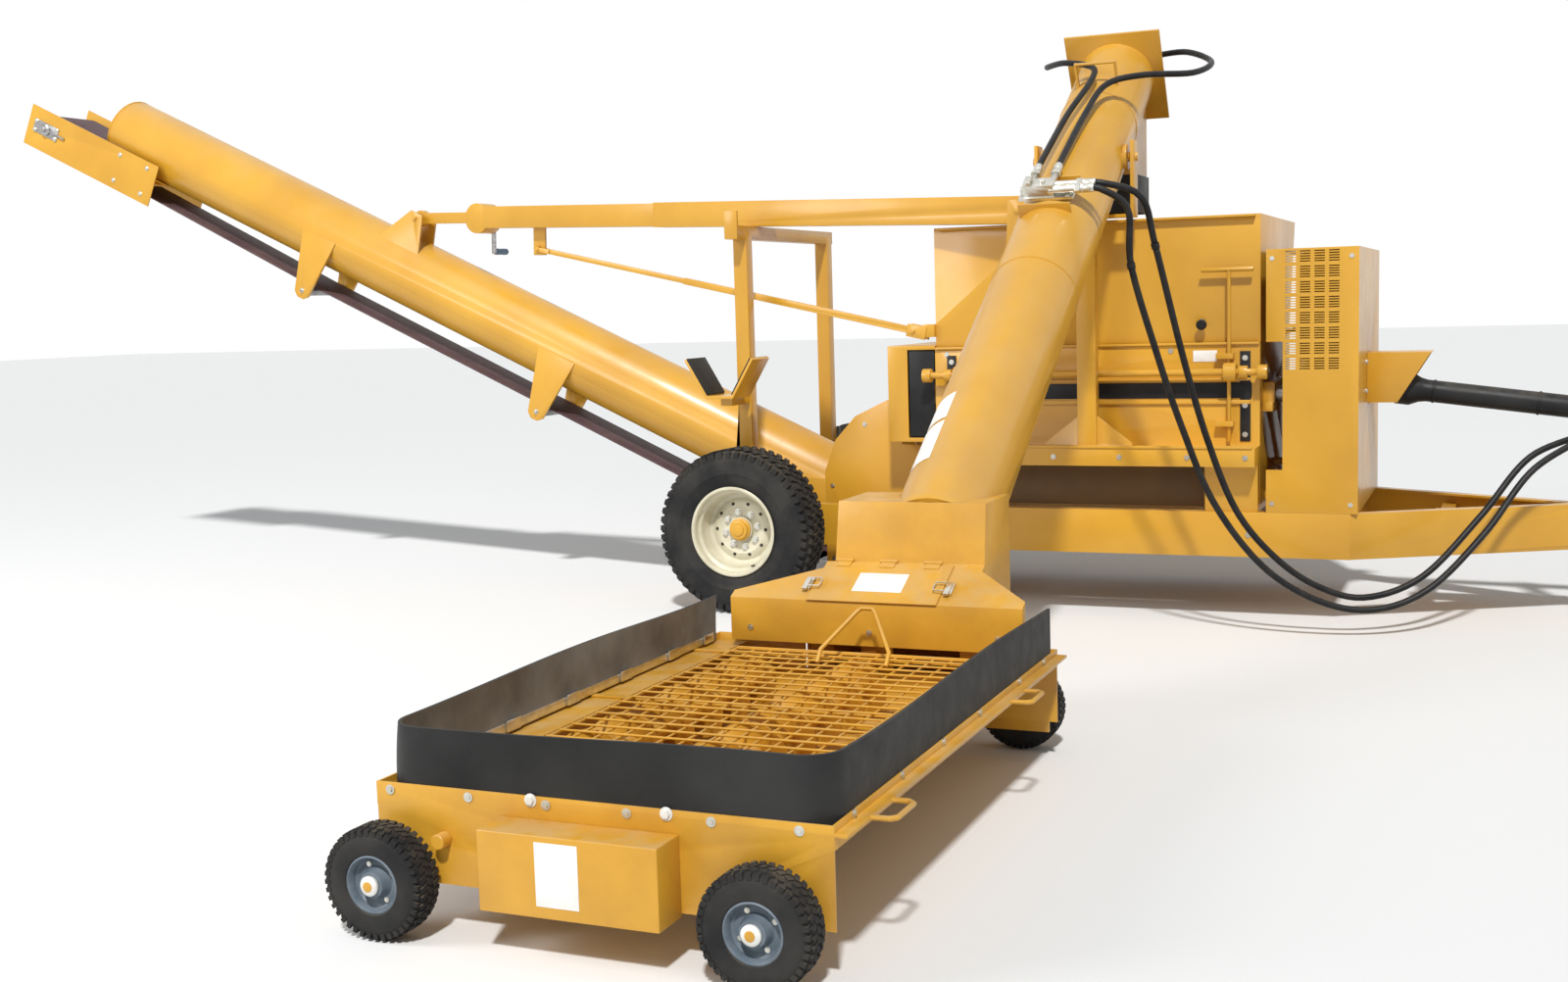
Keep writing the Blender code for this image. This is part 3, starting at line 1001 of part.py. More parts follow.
def grate():
    """Wire mesh over the screws, hinged at its low end."""
    bars, half = [], 0.004
    columns, rows = 8, 6
    for k in range(columns):
        x = GRATE_X0 + (GRATE_X1 - GRATE_X0) * k / (columns - 1)
        bars.append(box(x - half, x + half, GRATE_Y0, GRATE_Y1, GRATE_Z - half, GRATE_Z + half))
    for k in range(rows):
        y = GRATE_Y0 + (GRATE_Y1 - GRATE_Y0) * k / (rows - 1)
        bars.append(box(GRATE_X0 - 0.01, GRATE_X1 + 0.01, y - half, y + half,
                        GRATE_Z + half - EMBED, GRATE_Z + 3 * half - EMBED))
    left, right = (GRATE_X0 + (GRATE_X1 - GRATE_X0) * k / (columns - 1) for k in (3, 5))
    middle, end = (left + right) / 2, GRATE_Y1
    handle = [(left, end - 0.152, GRATE_Z), (left, end - 0.11, GRATE_Z + 0.05),
              (middle - 0.02, end, GRATE_Z + 0.155), (middle + 0.02, end, GRATE_Z + 0.155),
              (right, end - 0.11, GRATE_Z + 0.05), (right, end - 0.152, GRATE_Z)]
    bars.append(wire(handle, 0.007, 2))
    piece("grate", weld(bars), YELLOW, (0, GRATE_Y0, GRATE_Z))


def feeders():
    for name, x in zip(("hopper_auger_left", "hopper_auger_right"), FEEDER_X):
        solids = [rod((x, PAN_Y0 - 0.036, FEEDER_Z), (x, PAN_Y1 + 0.008, FEEDER_Z), 0.018, 14),
                  rod((x, PAN_Y0 + 0.03, FEEDER_Z), (x, PAN_Y1 - 0.03, FEEDER_Z), 0.026, 8),
                  flighting((x, PAN_Y0 + 0.04, FEEDER_Z), (x, PAN_Y1 - 0.04, FEEDER_Z),
                            FEEDER_R, 0.026, 0.20)]
        piece(name, weld(solids), YELLOW, (x, PAN_Y0, FEEDER_Z))


HOOD_WIDE, HOOD_NARROW = (-0.62, 0.38), (-0.40, 0.15)
HOOD_FLOOR = PAN_Z1 + GAP
HOOD_FOOT = (-0.31, 0.20)       # sides of the hood where the auger's tube stands in it


def hood():
    """Transition from the pan to the auger's foot: a lip as wide as the pan
    that narrows to the tube, and a sump behind the pan's rear plate."""
    lie, t = auger_axes(), SHEET
    back, rear = PAN_Y1 + 0.0105, -2.66
    (x0, x1), (n0, n1), (f0, f1) = HOOD_WIDE, HOOD_NARROW, HOOD_FOOT
    upper = [(-3.165, HOOD_FLOOR), (-3.165, 0.50), (-2.96, 0.60), (-2.938, 0.80), (rear, 0.80),
             (rear, HOOD_FLOOR)]
    upper_room = [(-3.159, 0.34), (-3.159, 0.496), (-2.957, 0.594), (-2.932, 0.794), (rear - t, 0.794),
                  (rear - t, HOOD_FLOOR + t), (back, HOOD_FLOOR + t), (back, 0.34)]
    sump = [(back, 0.22), (-2.72, 0.22), (rear, 0.30), (rear, 0.37), (back, 0.37)]
    sump_room = [(back - 0.02, 0.226), (-2.724, 0.226), (rear - t, 0.302), (rear - t, 0.38),
                 (back - 0.02, 0.38)]
    def plan(inset):
        outline = [(x0 + inset, -3.20), (x0 + inset, -3.13), (f0 - 0.02 + inset, -2.99), (f0 + inset, -2.93),
                   (f0 + inset, rear + 0.01), (f1 - inset, rear + 0.01), (f1 - inset, -2.99),
                   (x1 - inset, -3.13), (x1 - inset, -3.20)]
        return prism([[(-y, x) for x, y in outline]], (0, 0, 0.1), (0, 0, 0.9), up=(1, 0, 0))
    shells = [combined(prism([upper], (x0, 0, 0), (x1, 0, 0)), [plan(0.0)], "INTERSECT"),
              combined(prism([sump], (n0, 0, 0), (n1, 0, 0)), [plan(0.0)], "INTERSECT")]
    rooms = [combined(prism([upper_room], (x0, 0, 0), (x1, 0, 0)), [plan(t)], "INTERSECT"),
             combined(prism([sump_room], (n0 + t, 0, 0), (n1 - t, 0, 0)), [plan(t)], "INTERSECT")]
    foot = [lie @ Vector((AUGER_LOW + along, 0, 0)) for along in (-0.35, 0.005, -0.0305)]
    seat = bore(foot[0], foot[1], AUGER_R, 32)
    collar = bore(foot[2], foot[1], AUGER_R + FOOT_RING, 32)
    mouth = prism([[(-3.11, 0.515), (-2.985, 0.575), (-2.985, 0.65), (-3.11, 0.65)]],
                  (-0.30, 0, 0), (0.06, 0, 0))
    piece("hood", weld(shells, rooms + [seat, collar, mouth]), YELLOW, (0, POST_Y, AUGER_AXIS_Z))


LID_HINGE = (0, -2.972, 0.6045)


def hood_lid():
    slope = axes((0, -2.97, 0.5952), (0, -0.205, -0.100))
    solids = [box(0.0, 0.222, -0.345, 0.10, 0.0008, 0.005, slope)]
    for x in (-0.28, -0.125, 0.03):
        solids.append(rod((x - 0.03, *LID_HINGE[1:]), (x + 0.03, *LID_HINGE[1:]), 0.007, 12))
        solids.append(box(-0.006, 0.03, x - 0.025, x + 0.025, 0.004, 0.009, slope))
    piece("hood_lid", weld(solids), YELLOW, LID_HINGE)


def small_wheels():
    names = {(-1, -1): "small_wheel_front_left", (1, -1): "small_wheel_front_right",
             (-1, 1): "small_wheel_rear_left", (1, 1): "small_wheel_rear_right"}
    half = SMALL_W / 2
    hole = STUB_R + GAP
    tread = [(hole, -half + 0.005), (0.032, -half + 0.005), (0.036, -0.015), (0.062, -0.015),
             (0.068, -half), (0.12, -half + 0.006), (SMALL_R, -0.022), (SMALL_R, 0.022),
             (0.12, half - 0.006), (0.068, half), (0.062, 0.015), (0.036, 0.015),
             (0.032, half - 0.005), (hole, half - 0.005)]
    for i, x in enumerate(SMALL_X):
        for j, y in enumerate(SMALL_Y):
            name = names[(-1, 1)[i], (-1, 1)[j]]
            piece(name, turned(tread, (x, y, SMALL_R), (0, 1, 0), 16), TYRE, (x, y, SMALL_R))


# ---------------------------------------------------------------- hoses
def hose(name, points):
    piece(name, wire(smooth_route(points, HOSE_R * 6), HOSE_R, 2), RUBBER)


def hoses():
    """Two hoses from motor to valve block on the auger, and two from the block
    to the dock on the tongue.  Each of those two is held at the swivel, so its
    upper stretch follows the tilt and its lower stretch only the swing."""
    lie, top = auger_axes(), AUGER_R + GAP
    port, block = AUGER_HIGH - 0.012 - GAP - 0.09, BLOCK_ALONG - 0.125 - GAP
    motor = {
        "left": [(port, -0.106 - GAP, 0.05), (port, -0.16, 0.05), (port + 0.06, -0.27, 0.08),
                 (port + 0.20, -0.30, 0.13), (port + 0.36, -0.17, 0.22), (port + 0.46, -0.02, 0.235),
                 (port + 0.60, 0.00, 0.235), (port + 0.90, -0.05, 0.225)],
        "right": [(port, 0.106 + GAP, 0.05), (port, 0.16, 0.05), (port + 0.05, 0.33, 0.08),
                  (port + 0.22, 0.47, 0.10), (port + 0.42, 0.42, 0.15), (port + 0.55, 0.22, 0.22),
                  (port + 0.66, 0.08, 0.24), (port + 0.90, 0.03, 0.225)]}
    for (name, route), y in zip(motor.items(), BLOCK_PORTS):
        home = [(block - 0.10, y, top + 0.036), (block, y, top + 0.036)]
        hose("motor_hose_" + name, [lie @ Vector(p) for p in route + home])
    outlets = [lie @ Vector((along, 0.13 + GAP, top + z)) for along, z in BLOCK_OUTLETS]
    across = Vector((1, 0, 0))
    for name, start, tie, hang in (
            ("right", outlets[0], (0.40, -1.10, 1.66),
             [(0.50, -1.04, 1.20), (0.59, -0.97, 0.84), (0.70, -0.92, 0.54), (0.85, -0.87, 0.34),
              (1.02, -0.81, 0.21), (1.21, -0.75, 0.16), (1.43, -0.63, 0.24),
              (1.65, -0.46, 0.48), (1.84, -0.31, 0.72)]),
            ("left", outlets[1], (0.32, -1.20, 1.58),
             [(0.41, -1.14, 1.22), (0.50, -1.06, 0.90), (0.62, -1.00, 0.58), (0.81, -0.94, 0.31),
              (1.03, -0.88, 0.16), (1.25, -0.81, 0.12), (1.46, -0.70, 0.20),
              (1.67, -0.54, 0.42), (1.85, -0.38, 0.67)])):
        dock = Vector((STAND_X, DOCK_Y[name], DOCK_Z - GAP))
        middle = (start + across * 0.14 + Vector(tie)) / 2 + Vector((0.02, 0, 0.07))
        whole = smooth_route([start, start + across * 0.07, middle, tie, *hang,
                              dock - Vector((0.03, 0.02, 0.20)),
                              dock - Vector((0, 0, 0.08)), dock], HOSE_R * 6)
        split = min(range(len(whole)), key=lambda k: (whole[k] - Vector(tie)).length)
        along = (whole[split + 1] - whole[split - 1]).normalized()
        at = whole[split]
        piece("tractor_hose_" + name + "_upper",
              wire(whole[:split] + [at - along * 0.02, at], HOSE_R, 2), RUBBER)
        piece("tractor_hose_" + name,
              wire([at + along * 2 * GAP, at + along * 0.02] + whole[split + 1:], HOSE_R, 2), RUBBER)


# ---------------------------------------------------------------- assembly
main_frame()
axle()
transport_wheel(-1, "right")
transport_wheel(1, "left")
jack_leg()
mill_body()
feed_hopper()
feed_gate()
rolls()
carriages()
adjust_shaft()
drive_shield()
pto_guard()
drive_shaft()
rear_cover()
discharge_auger()
tail_boot()
conveyor_tube()
conveyor_belt()
conveyor_rollers()
gantry()
boom()
stay()
swivel_post()
swivel_head()
valve_block()
auger_tube()
spout_sleeve()
main_auger()
hydraulic_motor()
intake_pan()
gear_cover()
skirt()
grate()
feeders()
hood()
hood_lid()
small_wheels()
hoses()

# The origin goes under the middle of everything, on the ground.
bpy.context.view_layer.update()
corners = [made.matrix_world @ vertex.co for made in parts.objects if made.type == "MESH"
           for vertex in made.data.vertices]
middle = [(min(c[i] for c in corners) + max(c[i] for c in corners)) / 2 for i in range(2)]
root.location = (-middle[0], -middle[1], -min(c.z for c in corners))
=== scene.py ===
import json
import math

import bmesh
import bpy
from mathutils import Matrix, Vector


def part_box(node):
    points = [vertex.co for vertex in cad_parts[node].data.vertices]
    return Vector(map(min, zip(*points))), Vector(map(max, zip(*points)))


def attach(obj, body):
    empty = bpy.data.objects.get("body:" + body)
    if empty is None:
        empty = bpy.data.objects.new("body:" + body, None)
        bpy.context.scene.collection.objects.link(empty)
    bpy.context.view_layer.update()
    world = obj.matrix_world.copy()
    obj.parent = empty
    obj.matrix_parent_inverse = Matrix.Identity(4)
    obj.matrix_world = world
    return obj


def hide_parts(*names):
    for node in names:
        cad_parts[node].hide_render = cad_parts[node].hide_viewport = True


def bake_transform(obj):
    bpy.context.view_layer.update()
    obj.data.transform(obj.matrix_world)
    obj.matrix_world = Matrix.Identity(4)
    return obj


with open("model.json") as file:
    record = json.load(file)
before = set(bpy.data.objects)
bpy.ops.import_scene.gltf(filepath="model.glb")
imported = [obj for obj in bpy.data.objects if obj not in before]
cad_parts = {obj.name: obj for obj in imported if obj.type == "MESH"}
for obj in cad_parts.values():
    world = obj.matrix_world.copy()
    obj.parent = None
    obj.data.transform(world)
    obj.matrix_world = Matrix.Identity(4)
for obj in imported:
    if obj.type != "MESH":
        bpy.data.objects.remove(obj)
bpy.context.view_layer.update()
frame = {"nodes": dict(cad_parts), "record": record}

# %% [markdown]
# # A towed roller mill
# The machine rolls grain for feed.  A tractor tows and drives it.  A screw in a
# long tube lifts the grain out of a low hopper on four small wheels, two steel
# rolls crush it, and a belt in a second tube carries it up and away.
# The model comes in with its plain solids.  Each cell below takes one group of
# pieces and gives it the shape and finish that it has on the real machine.

low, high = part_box("swivel_post")
MILL_X = (low[0] + high[0]) / 2
low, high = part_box("fixed_roll")
ORIGIN = Vector((MILL_X, (low[1] + high[1]) / 2, 0.0))
BODY_OF = {node: body for body, nodes in frame["record"]["behaviour"]["bodies"].items() for node in nodes}
SLOT_OF = {part["node"]: part["material_slot"] for part in frame["record"]["subparts"]}
print("mill centre on the ground", [round(v, 3) for v in ORIGIN], "nodes", len(BODY_OF))


def at(x, y, z):
    """A point given from the ground under the middle of the mill."""
    return ORIGIN + Vector((x, y, z))


# %% [markdown]
# ## Camera, light and floor
# The camera stands as high as a person's chest, in front of the small hopper
# and to its right.  The light is a soft high sun, a big lamp over the left
# shoulder and a pale sky, so that a colour shows about as it is written.

# %% Camera
EYE = at(1.78, -8.26, 1.46)
YAW, PITCH, ROLL = math.radians(23.3), math.radians(6.2), math.radians(1.7)


def add_camera():
    forward = Vector((-math.sin(YAW) * math.cos(PITCH), math.cos(YAW) * math.cos(PITCH), -math.sin(PITCH)))
    right = Vector((math.cos(YAW), math.sin(YAW), 0))
    up = right.cross(forward)
    across = right * math.cos(ROLL) - up * math.sin(ROLL)
    over = right * math.sin(ROLL) + up * math.cos(ROLL)
    camera = bpy.data.objects.new("camera", bpy.data.cameras.new("camera"))
    camera.data.sensor_width = 36.0
    camera.data.lens = 39.2
    camera.data.clip_end = 200.0
    camera.matrix_world = Matrix((across, over, -forward)).transposed().to_4x4()
    camera.location = EYE
    bpy.context.scene.collection.objects.link(camera)
    bpy.context.scene.camera = camera
    print("camera at", [round(v, 2) for v in EYE])


add_camera()

# %% Light, sky and floor
bpy.context.scene.view_settings.view_transform = "Standard"


def add_lamp(name, kind, energy, place, aim, size):
    lamp = bpy.data.objects.new(name, bpy.data.lights.new(name, kind))
    lamp.data.energy = energy
    if kind == "SUN":
        lamp.data.angle = size
    else:
        lamp.data.shape, lamp.data.size = "DISK", size
    lamp.location = place
    lamp.rotation_euler = (Vector(aim) - Vector(place)).to_track_quat("-Z", "Y").to_euler()
    bpy.context.scene.collection.objects.link(lamp)


def paint_sky():
    world = bpy.data.worlds.new("pale_sky")
    bpy.context.scene.world = world
    world.use_nodes = True
    nodes, links = world.node_tree.nodes, world.node_tree.links
    nodes.clear()
    out = nodes.new("ShaderNodeOutputWorld")
    path = nodes.new("ShaderNodeLightPath")
    either = nodes.new("ShaderNodeMath")
    either.operation = "MAXIMUM"
    links.new(path.outputs["Is Camera Ray"], either.inputs[0])
    links.new(path.outputs["Is Glossy Ray"], either.inputs[1])
    seen, light = nodes.new("ShaderNodeBackground"), nodes.new("ShaderNodeBackground")
    seen.inputs["Color"].default_value = (1, 1, 1, 1)
    seen.inputs["Strength"].default_value = 1.0
    light.inputs["Color"].default_value = (0.90, 0.95, 1.0, 1)
    light.inputs["Strength"].default_value = 0.31
    mix = nodes.new("ShaderNodeMixShader")
    links.new(either.outputs[0], mix.inputs[0])
    links.new(light.outputs[0], mix.inputs[1])
    links.new(seen.outputs[0], mix.inputs[2])
    links.new(mix.outputs[0], out.inputs[0])


def add_floor():
    mesh = bpy.data.meshes.new("floor")
    shape = bmesh.new()
    bmesh.ops.create_grid(shape, x_segments=1, y_segments=1, size=60)
    shape.to_mesh(mesh)
    shape.free()
    floor = bpy.data.objects.new("floor", mesh)
    bpy.context.scene.collection.objects.link(floor)
    floor.location = (0, 0, -0.002)
    pale = bpy.data.materials.new("pale_floor")
    pale.use_nodes = True
    nodes, links = pale.node_tree.nodes, pale.node_tree.links
    shader = nodes["Principled BSDF"]
    shader.inputs["Base Color"].default_value = (0.80, 0.80, 0.79, 1)
    shader.inputs["Roughness"].default_value = 0.9
    mesh.materials.append(pale)


paint_sky()
add_floor()
add_lamp("high_sun", "SUN", 3.0, at(2.5, -7.0, 9.0), at(0, 0, 0), math.radians(4))
add_lamp("left_soft_lamp", "AREA", 300, at(-6.5, -8.0, 5.0), at(-1.5, -1.0, 0.8), 4.0)

# %% [markdown]
# ## Finishes
# Farm paint is thick and glossy when new.  It goes duller and paler where dust
# lies on faces that look up, and darker in streaks.  So the paint mixes two
# tones with noise and adds dust by the normal's height.  Rubber gets grey
# scuffs, bare steel gets brushed streaks.  All patterns read the object's own
# coordinates, which stay with the piece when it moves.

# %% A helper that builds one finish from a few plain numbers


def finish(name, tones, roughness, metallic=0.0, scale=3.0, dust=None, dust_most=0.0, grain=0.0,
           grain_scale=200.0, stretch=(1, 1, 1), coat=0.0, contrast=(0.35, 0.65)):
    made = bpy.data.materials.new(name)
    made.use_nodes = True
    nodes, links = made.node_tree.nodes, made.node_tree.links
    shader = nodes["Principled BSDF"]
    shader.inputs["Metallic"].default_value = metallic
    shader.inputs["Coat Weight"].default_value = coat
    shader.inputs["Coat Roughness"].default_value = 0.15
    where, turn = nodes.new("ShaderNodeTexCoord"), nodes.new("ShaderNodeMapping")
    turn.inputs["Scale"].default_value = stretch
    links.new(where.outputs["Object"], turn.inputs["Vector"])

    def noise(size, detail):
        node = nodes.new("ShaderNodeTexNoise")
        node.inputs["Scale"].default_value = size
        node.inputs["Detail"].default_value = detail
        links.new(turn.outputs["Vector"], node.inputs["Vector"])
        return node.outputs["Fac"]

    patches = nodes.new("ShaderNodeMapRange")
    patches.inputs["From Min"].default_value, patches.inputs["From Max"].default_value = contrast
    links.new(noise(scale, 6.0), patches.inputs["Value"])
    tone = nodes.new("ShaderNodeMix")
    tone.data_type = "RGBA"
    tone.inputs["A"].default_value = (*tones[0], 1)
    tone.inputs["B"].default_value = (*tones[1], 1)
    links.new(patches.outputs["Result"], tone.inputs["Factor"])
    colour = tone.outputs["Result"]
    gloss = nodes.new("ShaderNodeMapRange")
    gloss.inputs["To Min"].default_value, gloss.inputs["To Max"].default_value = roughness
    links.new(noise(scale * 4.1, 4.0), gloss.inputs["Value"])
    rough = gloss.outputs["Result"]
    if dust:
        normal, split = nodes.new("ShaderNodeNewGeometry"), nodes.new("ShaderNodeSeparateXYZ")
        links.new(normal.outputs["Normal"], split.inputs["Vector"])
        upward = nodes.new("ShaderNodeMapRange")
        upward.inputs["From Min"].default_value = 0.2
        upward.inputs["To Max"].default_value = dust_most
        links.new(split.outputs["Z"], upward.inputs["Value"])
        specks = nodes.new("ShaderNodeMapRange")
        specks.inputs["From Min"].default_value, specks.inputs["From Max"].default_value = 0.40, 0.62
        links.new(noise(scale * 2.3, 9.0), specks.inputs["Value"])
        lying = nodes.new("ShaderNodeMath")
        lying.operation = "MULTIPLY"
        links.new(upward.outputs["Result"], lying.inputs[0])
        links.new(specks.outputs["Result"], lying.inputs[1])
        cover = nodes.new("ShaderNodeMix")
        cover.data_type = "RGBA"
        cover.inputs["B"].default_value = (*dust, 1)
        links.new(lying.outputs[0], cover.inputs["Factor"])
        links.new(colour, cover.inputs["A"])
        colour = cover.outputs["Result"]
        dull = nodes.new("ShaderNodeMath")
        dull.operation = "ADD"
        dull.use_clamp = True
        links.new(rough, dull.inputs[0])
        links.new(lying.outputs[0], dull.inputs[1])
        rough = dull.outputs[0]
    links.new(colour, shader.inputs["Base Color"])
    links.new(rough, shader.inputs["Roughness"])
    if grain:
        bump = nodes.new("ShaderNodeBump")
        bump.inputs["Strength"].default_value = grain
        bump.inputs["Distance"].default_value = 0.002
        links.new(noise(grain_scale, 3.0), bump.inputs["Height"])
        links.new(bump.outputs["Normal"], shader.inputs["Normal"])
    return made


# %% The finishes of this machine
PALE_DUST = (0.46, 0.38, 0.24)
YELLOW = finish("yellow_paint", ((0.64, 0.335, 0.026), (0.56, 0.280, 0.019)), (0.28, 0.46), scale=2.2,
                dust=PALE_DUST, dust_most=0.15, grain=0.10, grain_scale=160, coat=0.25)
PAN_YELLOW = finish("worn_yellow_paint", ((0.65, 0.335, 0.028), (0.54, 0.270, 0.024)), (0.32, 0.55),
                    scale=5.0,
                    dust=PALE_DUST, dust_most=0.30, grain=0.2, grain_scale=120, coat=0.15)
CREAM = finish("cream_paint", ((0.66, 0.62, 0.47), (0.52, 0.48, 0.35)), (0.34, 0.55), scale=9.0, grain=0.1)
TYRE = finish("tyre_rubber", ((0.014, 0.014, 0.015), (0.035, 0.033, 0.030)), (0.62, 0.88), scale=7.0,
              dust=(0.16, 0.13, 0.09), dust_most=0.5, grain=0.5, grain_scale=90)
HOSE_RUBBER = finish("hose_rubber", ((0.010, 0.010, 0.011), (0.020, 0.019, 0.018)), (0.30, 0.50), scale=20.0,
                     grain=0.25, grain_scale=320)
SKIRT_RUBBER = finish("skirt_rubber", ((0.012, 0.012, 0.012), (0.030, 0.030, 0.029)), (0.42, 0.70), scale=3.4,
                      dust=(0.11, 0.105, 0.095), dust_most=0.4, grain=0.5, grain_scale=40,
                      contrast=(0.30, 0.72))
BELT_RUBBER = finish("belt_rubber", ((0.060, 0.028, 0.032), (0.090, 0.050, 0.052)), (0.6, 0.8), scale=6.0,
                     grain=0.4, grain_scale=110)
BLACK = finish("black_plastic", ((0.012, 0.012, 0.013), (0.024, 0.024, 0.024)), (0.32, 0.5), scale=6.0,
               dust=(0.2, 0.17, 0.12), dust_most=0.3, grain=0.2, grain_scale=180)
STEEL = finish("worked_steel", ((0.50, 0.50, 0.51), (0.32, 0.31, 0.30)), (0.25, 0.5), metallic=1.0,
               scale=12.0,
               stretch=(1, 1, 6), grain=0.2, grain_scale=80)
ZINC = finish("zinc_plate", ((0.74, 0.73, 0.68), (0.60, 0.58, 0.50)), (0.22, 0.40), metallic=1.0, scale=30.0)
HUB_GREY = finish("hub_grey_paint", ((0.10, 0.13, 0.16), (0.16, 0.19, 0.22)), (0.38, 0.6),
                  scale=22.0, grain=0.15)
CAP_WHITE = finish("white_plastic", ((0.78, 0.78, 0.74), (0.66, 0.65, 0.60)), (0.35, 0.5), scale=40.0)
PLATE_WHITE = finish("blank_plate", ((0.86, 0.86, 0.83), (0.78, 0.77, 0.72)), (0.30, 0.42),
                     scale=24.0, grain=0.05)
GRIP_BLUE = finish("blue_grip", ((0.15, 0.27, 0.42), (0.10, 0.18, 0.30)), (0.4, 0.6), scale=40.0)
# Painted shade: a dark yellow for the sheet that stands in for the shade under the mill's shelf.
PAINTED_SHADE_YELLOW = finish("painted_shade_yellow_paint", ((0.110, 0.056, 0.012), (0.085, 0.042, 0.010)), (0.6, 0.8),
                       scale=4.0, dust=PALE_DUST, dust_most=0.1)
# Painted shade: near black for discs that stand in for the shade inside holes.
PAINTED_SHADE_DARK = finish("painted_shade_dark", ((0.020, 0.016, 0.012), (0.045, 0.034, 0.02)), (0.7, 0.9), scale=8.0)
for rubber in (SKIRT_RUBBER, TYRE, HOSE_RUBBER, BLACK):
    for node in rubber.node_tree.nodes:
        if node.type == "BSDF_PRINCIPLED":
            node.inputs["Specular IOR Level"].default_value = 0.2
print("finishes", len(bpy.data.materials))

# %% [markdown]
# ## Small makers used all through
# Every finished piece is a plain mesh at the origin.  `settle` gives it its
# finish and its body, and marks hard edges so that curved
# faces shade smoothly and flat ones stay flat.

# %% Finished pieces


def settle(piece, material, body, slot, *nodes, smooth=35.0):
    if material is not None:
        piece.data.materials.clear()
        piece.data.materials.append(material)
    for face in piece.data.polygons:
        face.use_smooth = True
    piece.data.set_sharp_from_angle(angle=math.radians(smooth))
    if piece.name not in bpy.context.scene.collection.objects:
        bpy.context.scene.collection.objects.link(piece)
    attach(piece, body)
    if nodes:
        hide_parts(*nodes)
    return piece


def from_shape(name, shape):
    bmesh.ops.recalc_face_normals(shape, faces=shape.faces)
    mesh = bpy.data.meshes.new(name)
    shape.to_mesh(mesh)
    shape.free()
    return bpy.data.objects.new(name, mesh)


def baked(piece):
    """The object with its modifiers applied, as a plain mesh."""
    if piece.name not in bpy.context.scene.collection.objects:
        bpy.context.scene.collection.objects.link(piece)
    bpy.context.view_layer.update()
    graph = bpy.context.evaluated_depsgraph_get()
    mesh = bpy.data.meshes.new_from_object(piece.evaluated_get(graph), depsgraph=graph)
    mesh.transform(piece.matrix_world)
    name = piece.name
    bpy.data.objects.remove(piece, do_unlink=True)
    return bpy.data.objects.new(name, mesh)


def gathered(name, pieces):
    """One object from several that share a body and a finish."""
    shape = bmesh.new()
    for each in pieces:
        shape.from_mesh(each.data)
        bpy.data.objects.remove(each, do_unlink=True)
    mesh = bpy.data.meshes.new(name)
    shape.to_mesh(mesh)
    shape.free()
    return bpy.data.objects.new(name, mesh)


def axes(origin, forward, up=(0, 0, 1)):
    """Matrix whose X runs forward, Z as near up as it can, Y = Z x X."""
    x = Vector(forward).normalized()
    z = (Vector(up) - Vector(up).dot(x) * x).normalized()
    turn = Matrix((x, z.cross(x), z)).transposed().to_4x4()
    return Matrix.Translation(origin) @ turn


def block(name, low, high, lie=None, edge=0.002):
    """Bar or plate with eased edges, from corner to corner."""
    shape = bmesh.new()
    bmesh.ops.create_cube(shape, size=1.0)
    for vert in shape.verts:
        vert.co = Vector([low[i] + (vert.co[i] + 0.5) * (high[i] - low[i]) for i in range(3)])
    if edge:
        bmesh.ops.bevel(shape, geom=shape.edges[:], offset=edge, segments=2, affect="EDGES", profile=0.5)
    shape.transform(lie if lie is not None else Matrix.Translation(ORIGIN))
    return from_shape(name, shape)


def lathe(name, profile, centre, direction, steps=64):
    """A turned piece: (radius, along) pairs spun round a line."""
    shape = bmesh.new()
    ring = [shape.verts.new((r, 0, a)) for r, a in profile]
    for a, b in zip(ring, ring[1:] + ring[:1]):
        shape.edges.new((a, b))
    bmesh.ops.spin(shape, geom=shape.verts[:] + shape.edges[:], angle=math.tau, steps=steps,
                   axis=(0, 0, 1), cent=(0, 0, 0), use_merge=True)
    bmesh.ops.remove_doubles(shape, verts=shape.verts[:], dist=1e-6)
    side = (1, 0, 0) if abs(Vector(direction).normalized().z) > 0.9 else (0, 0, 1)
    lie = axes(centre, direction, side) @ Matrix.Rotation(math.pi / 2, 4, "Y")
    shape.transform(lie)
    return from_shape(name, shape)


def solid_rod(name, start, end, radius, steps=32, ease=0.0015):
    """Round bar with eased ends."""
    start, end = Vector(start), Vector(end)
    long = (end - start).length
    shape = [(0, 0), (radius - ease, 0), (radius, ease), (radius, long - ease),
             (radius - ease, long), (0, long)]
    return lathe(name, shape, start, end - start, steps)


def bent_wire(name, points, radius, sides=3, cyclic=False):
    """Round wire, hose or rail along points."""
    curve = bpy.data.curves.new(name, "CURVE")
    curve.dimensions = "3D"
    curve.bevel_depth = radius
    curve.bevel_resolution = sides
    curve.use_fill_caps = True
    line = curve.splines.new("POLY")
    line.points.add(len(points) - 1)
    for spot, point in zip(line.points, points):
        spot.co = (*point, 1)
    line.use_cyclic_u = cyclic
    made = baked(bpy.data.objects.new(name, curve))
    shape = bmesh.new()
    shape.from_mesh(made.data)
    bmesh.ops.remove_doubles(shape, verts=shape.verts[:], dist=1e-5)
    bpy.data.objects.remove(made, do_unlink=True)
    return from_shape(name, shape)
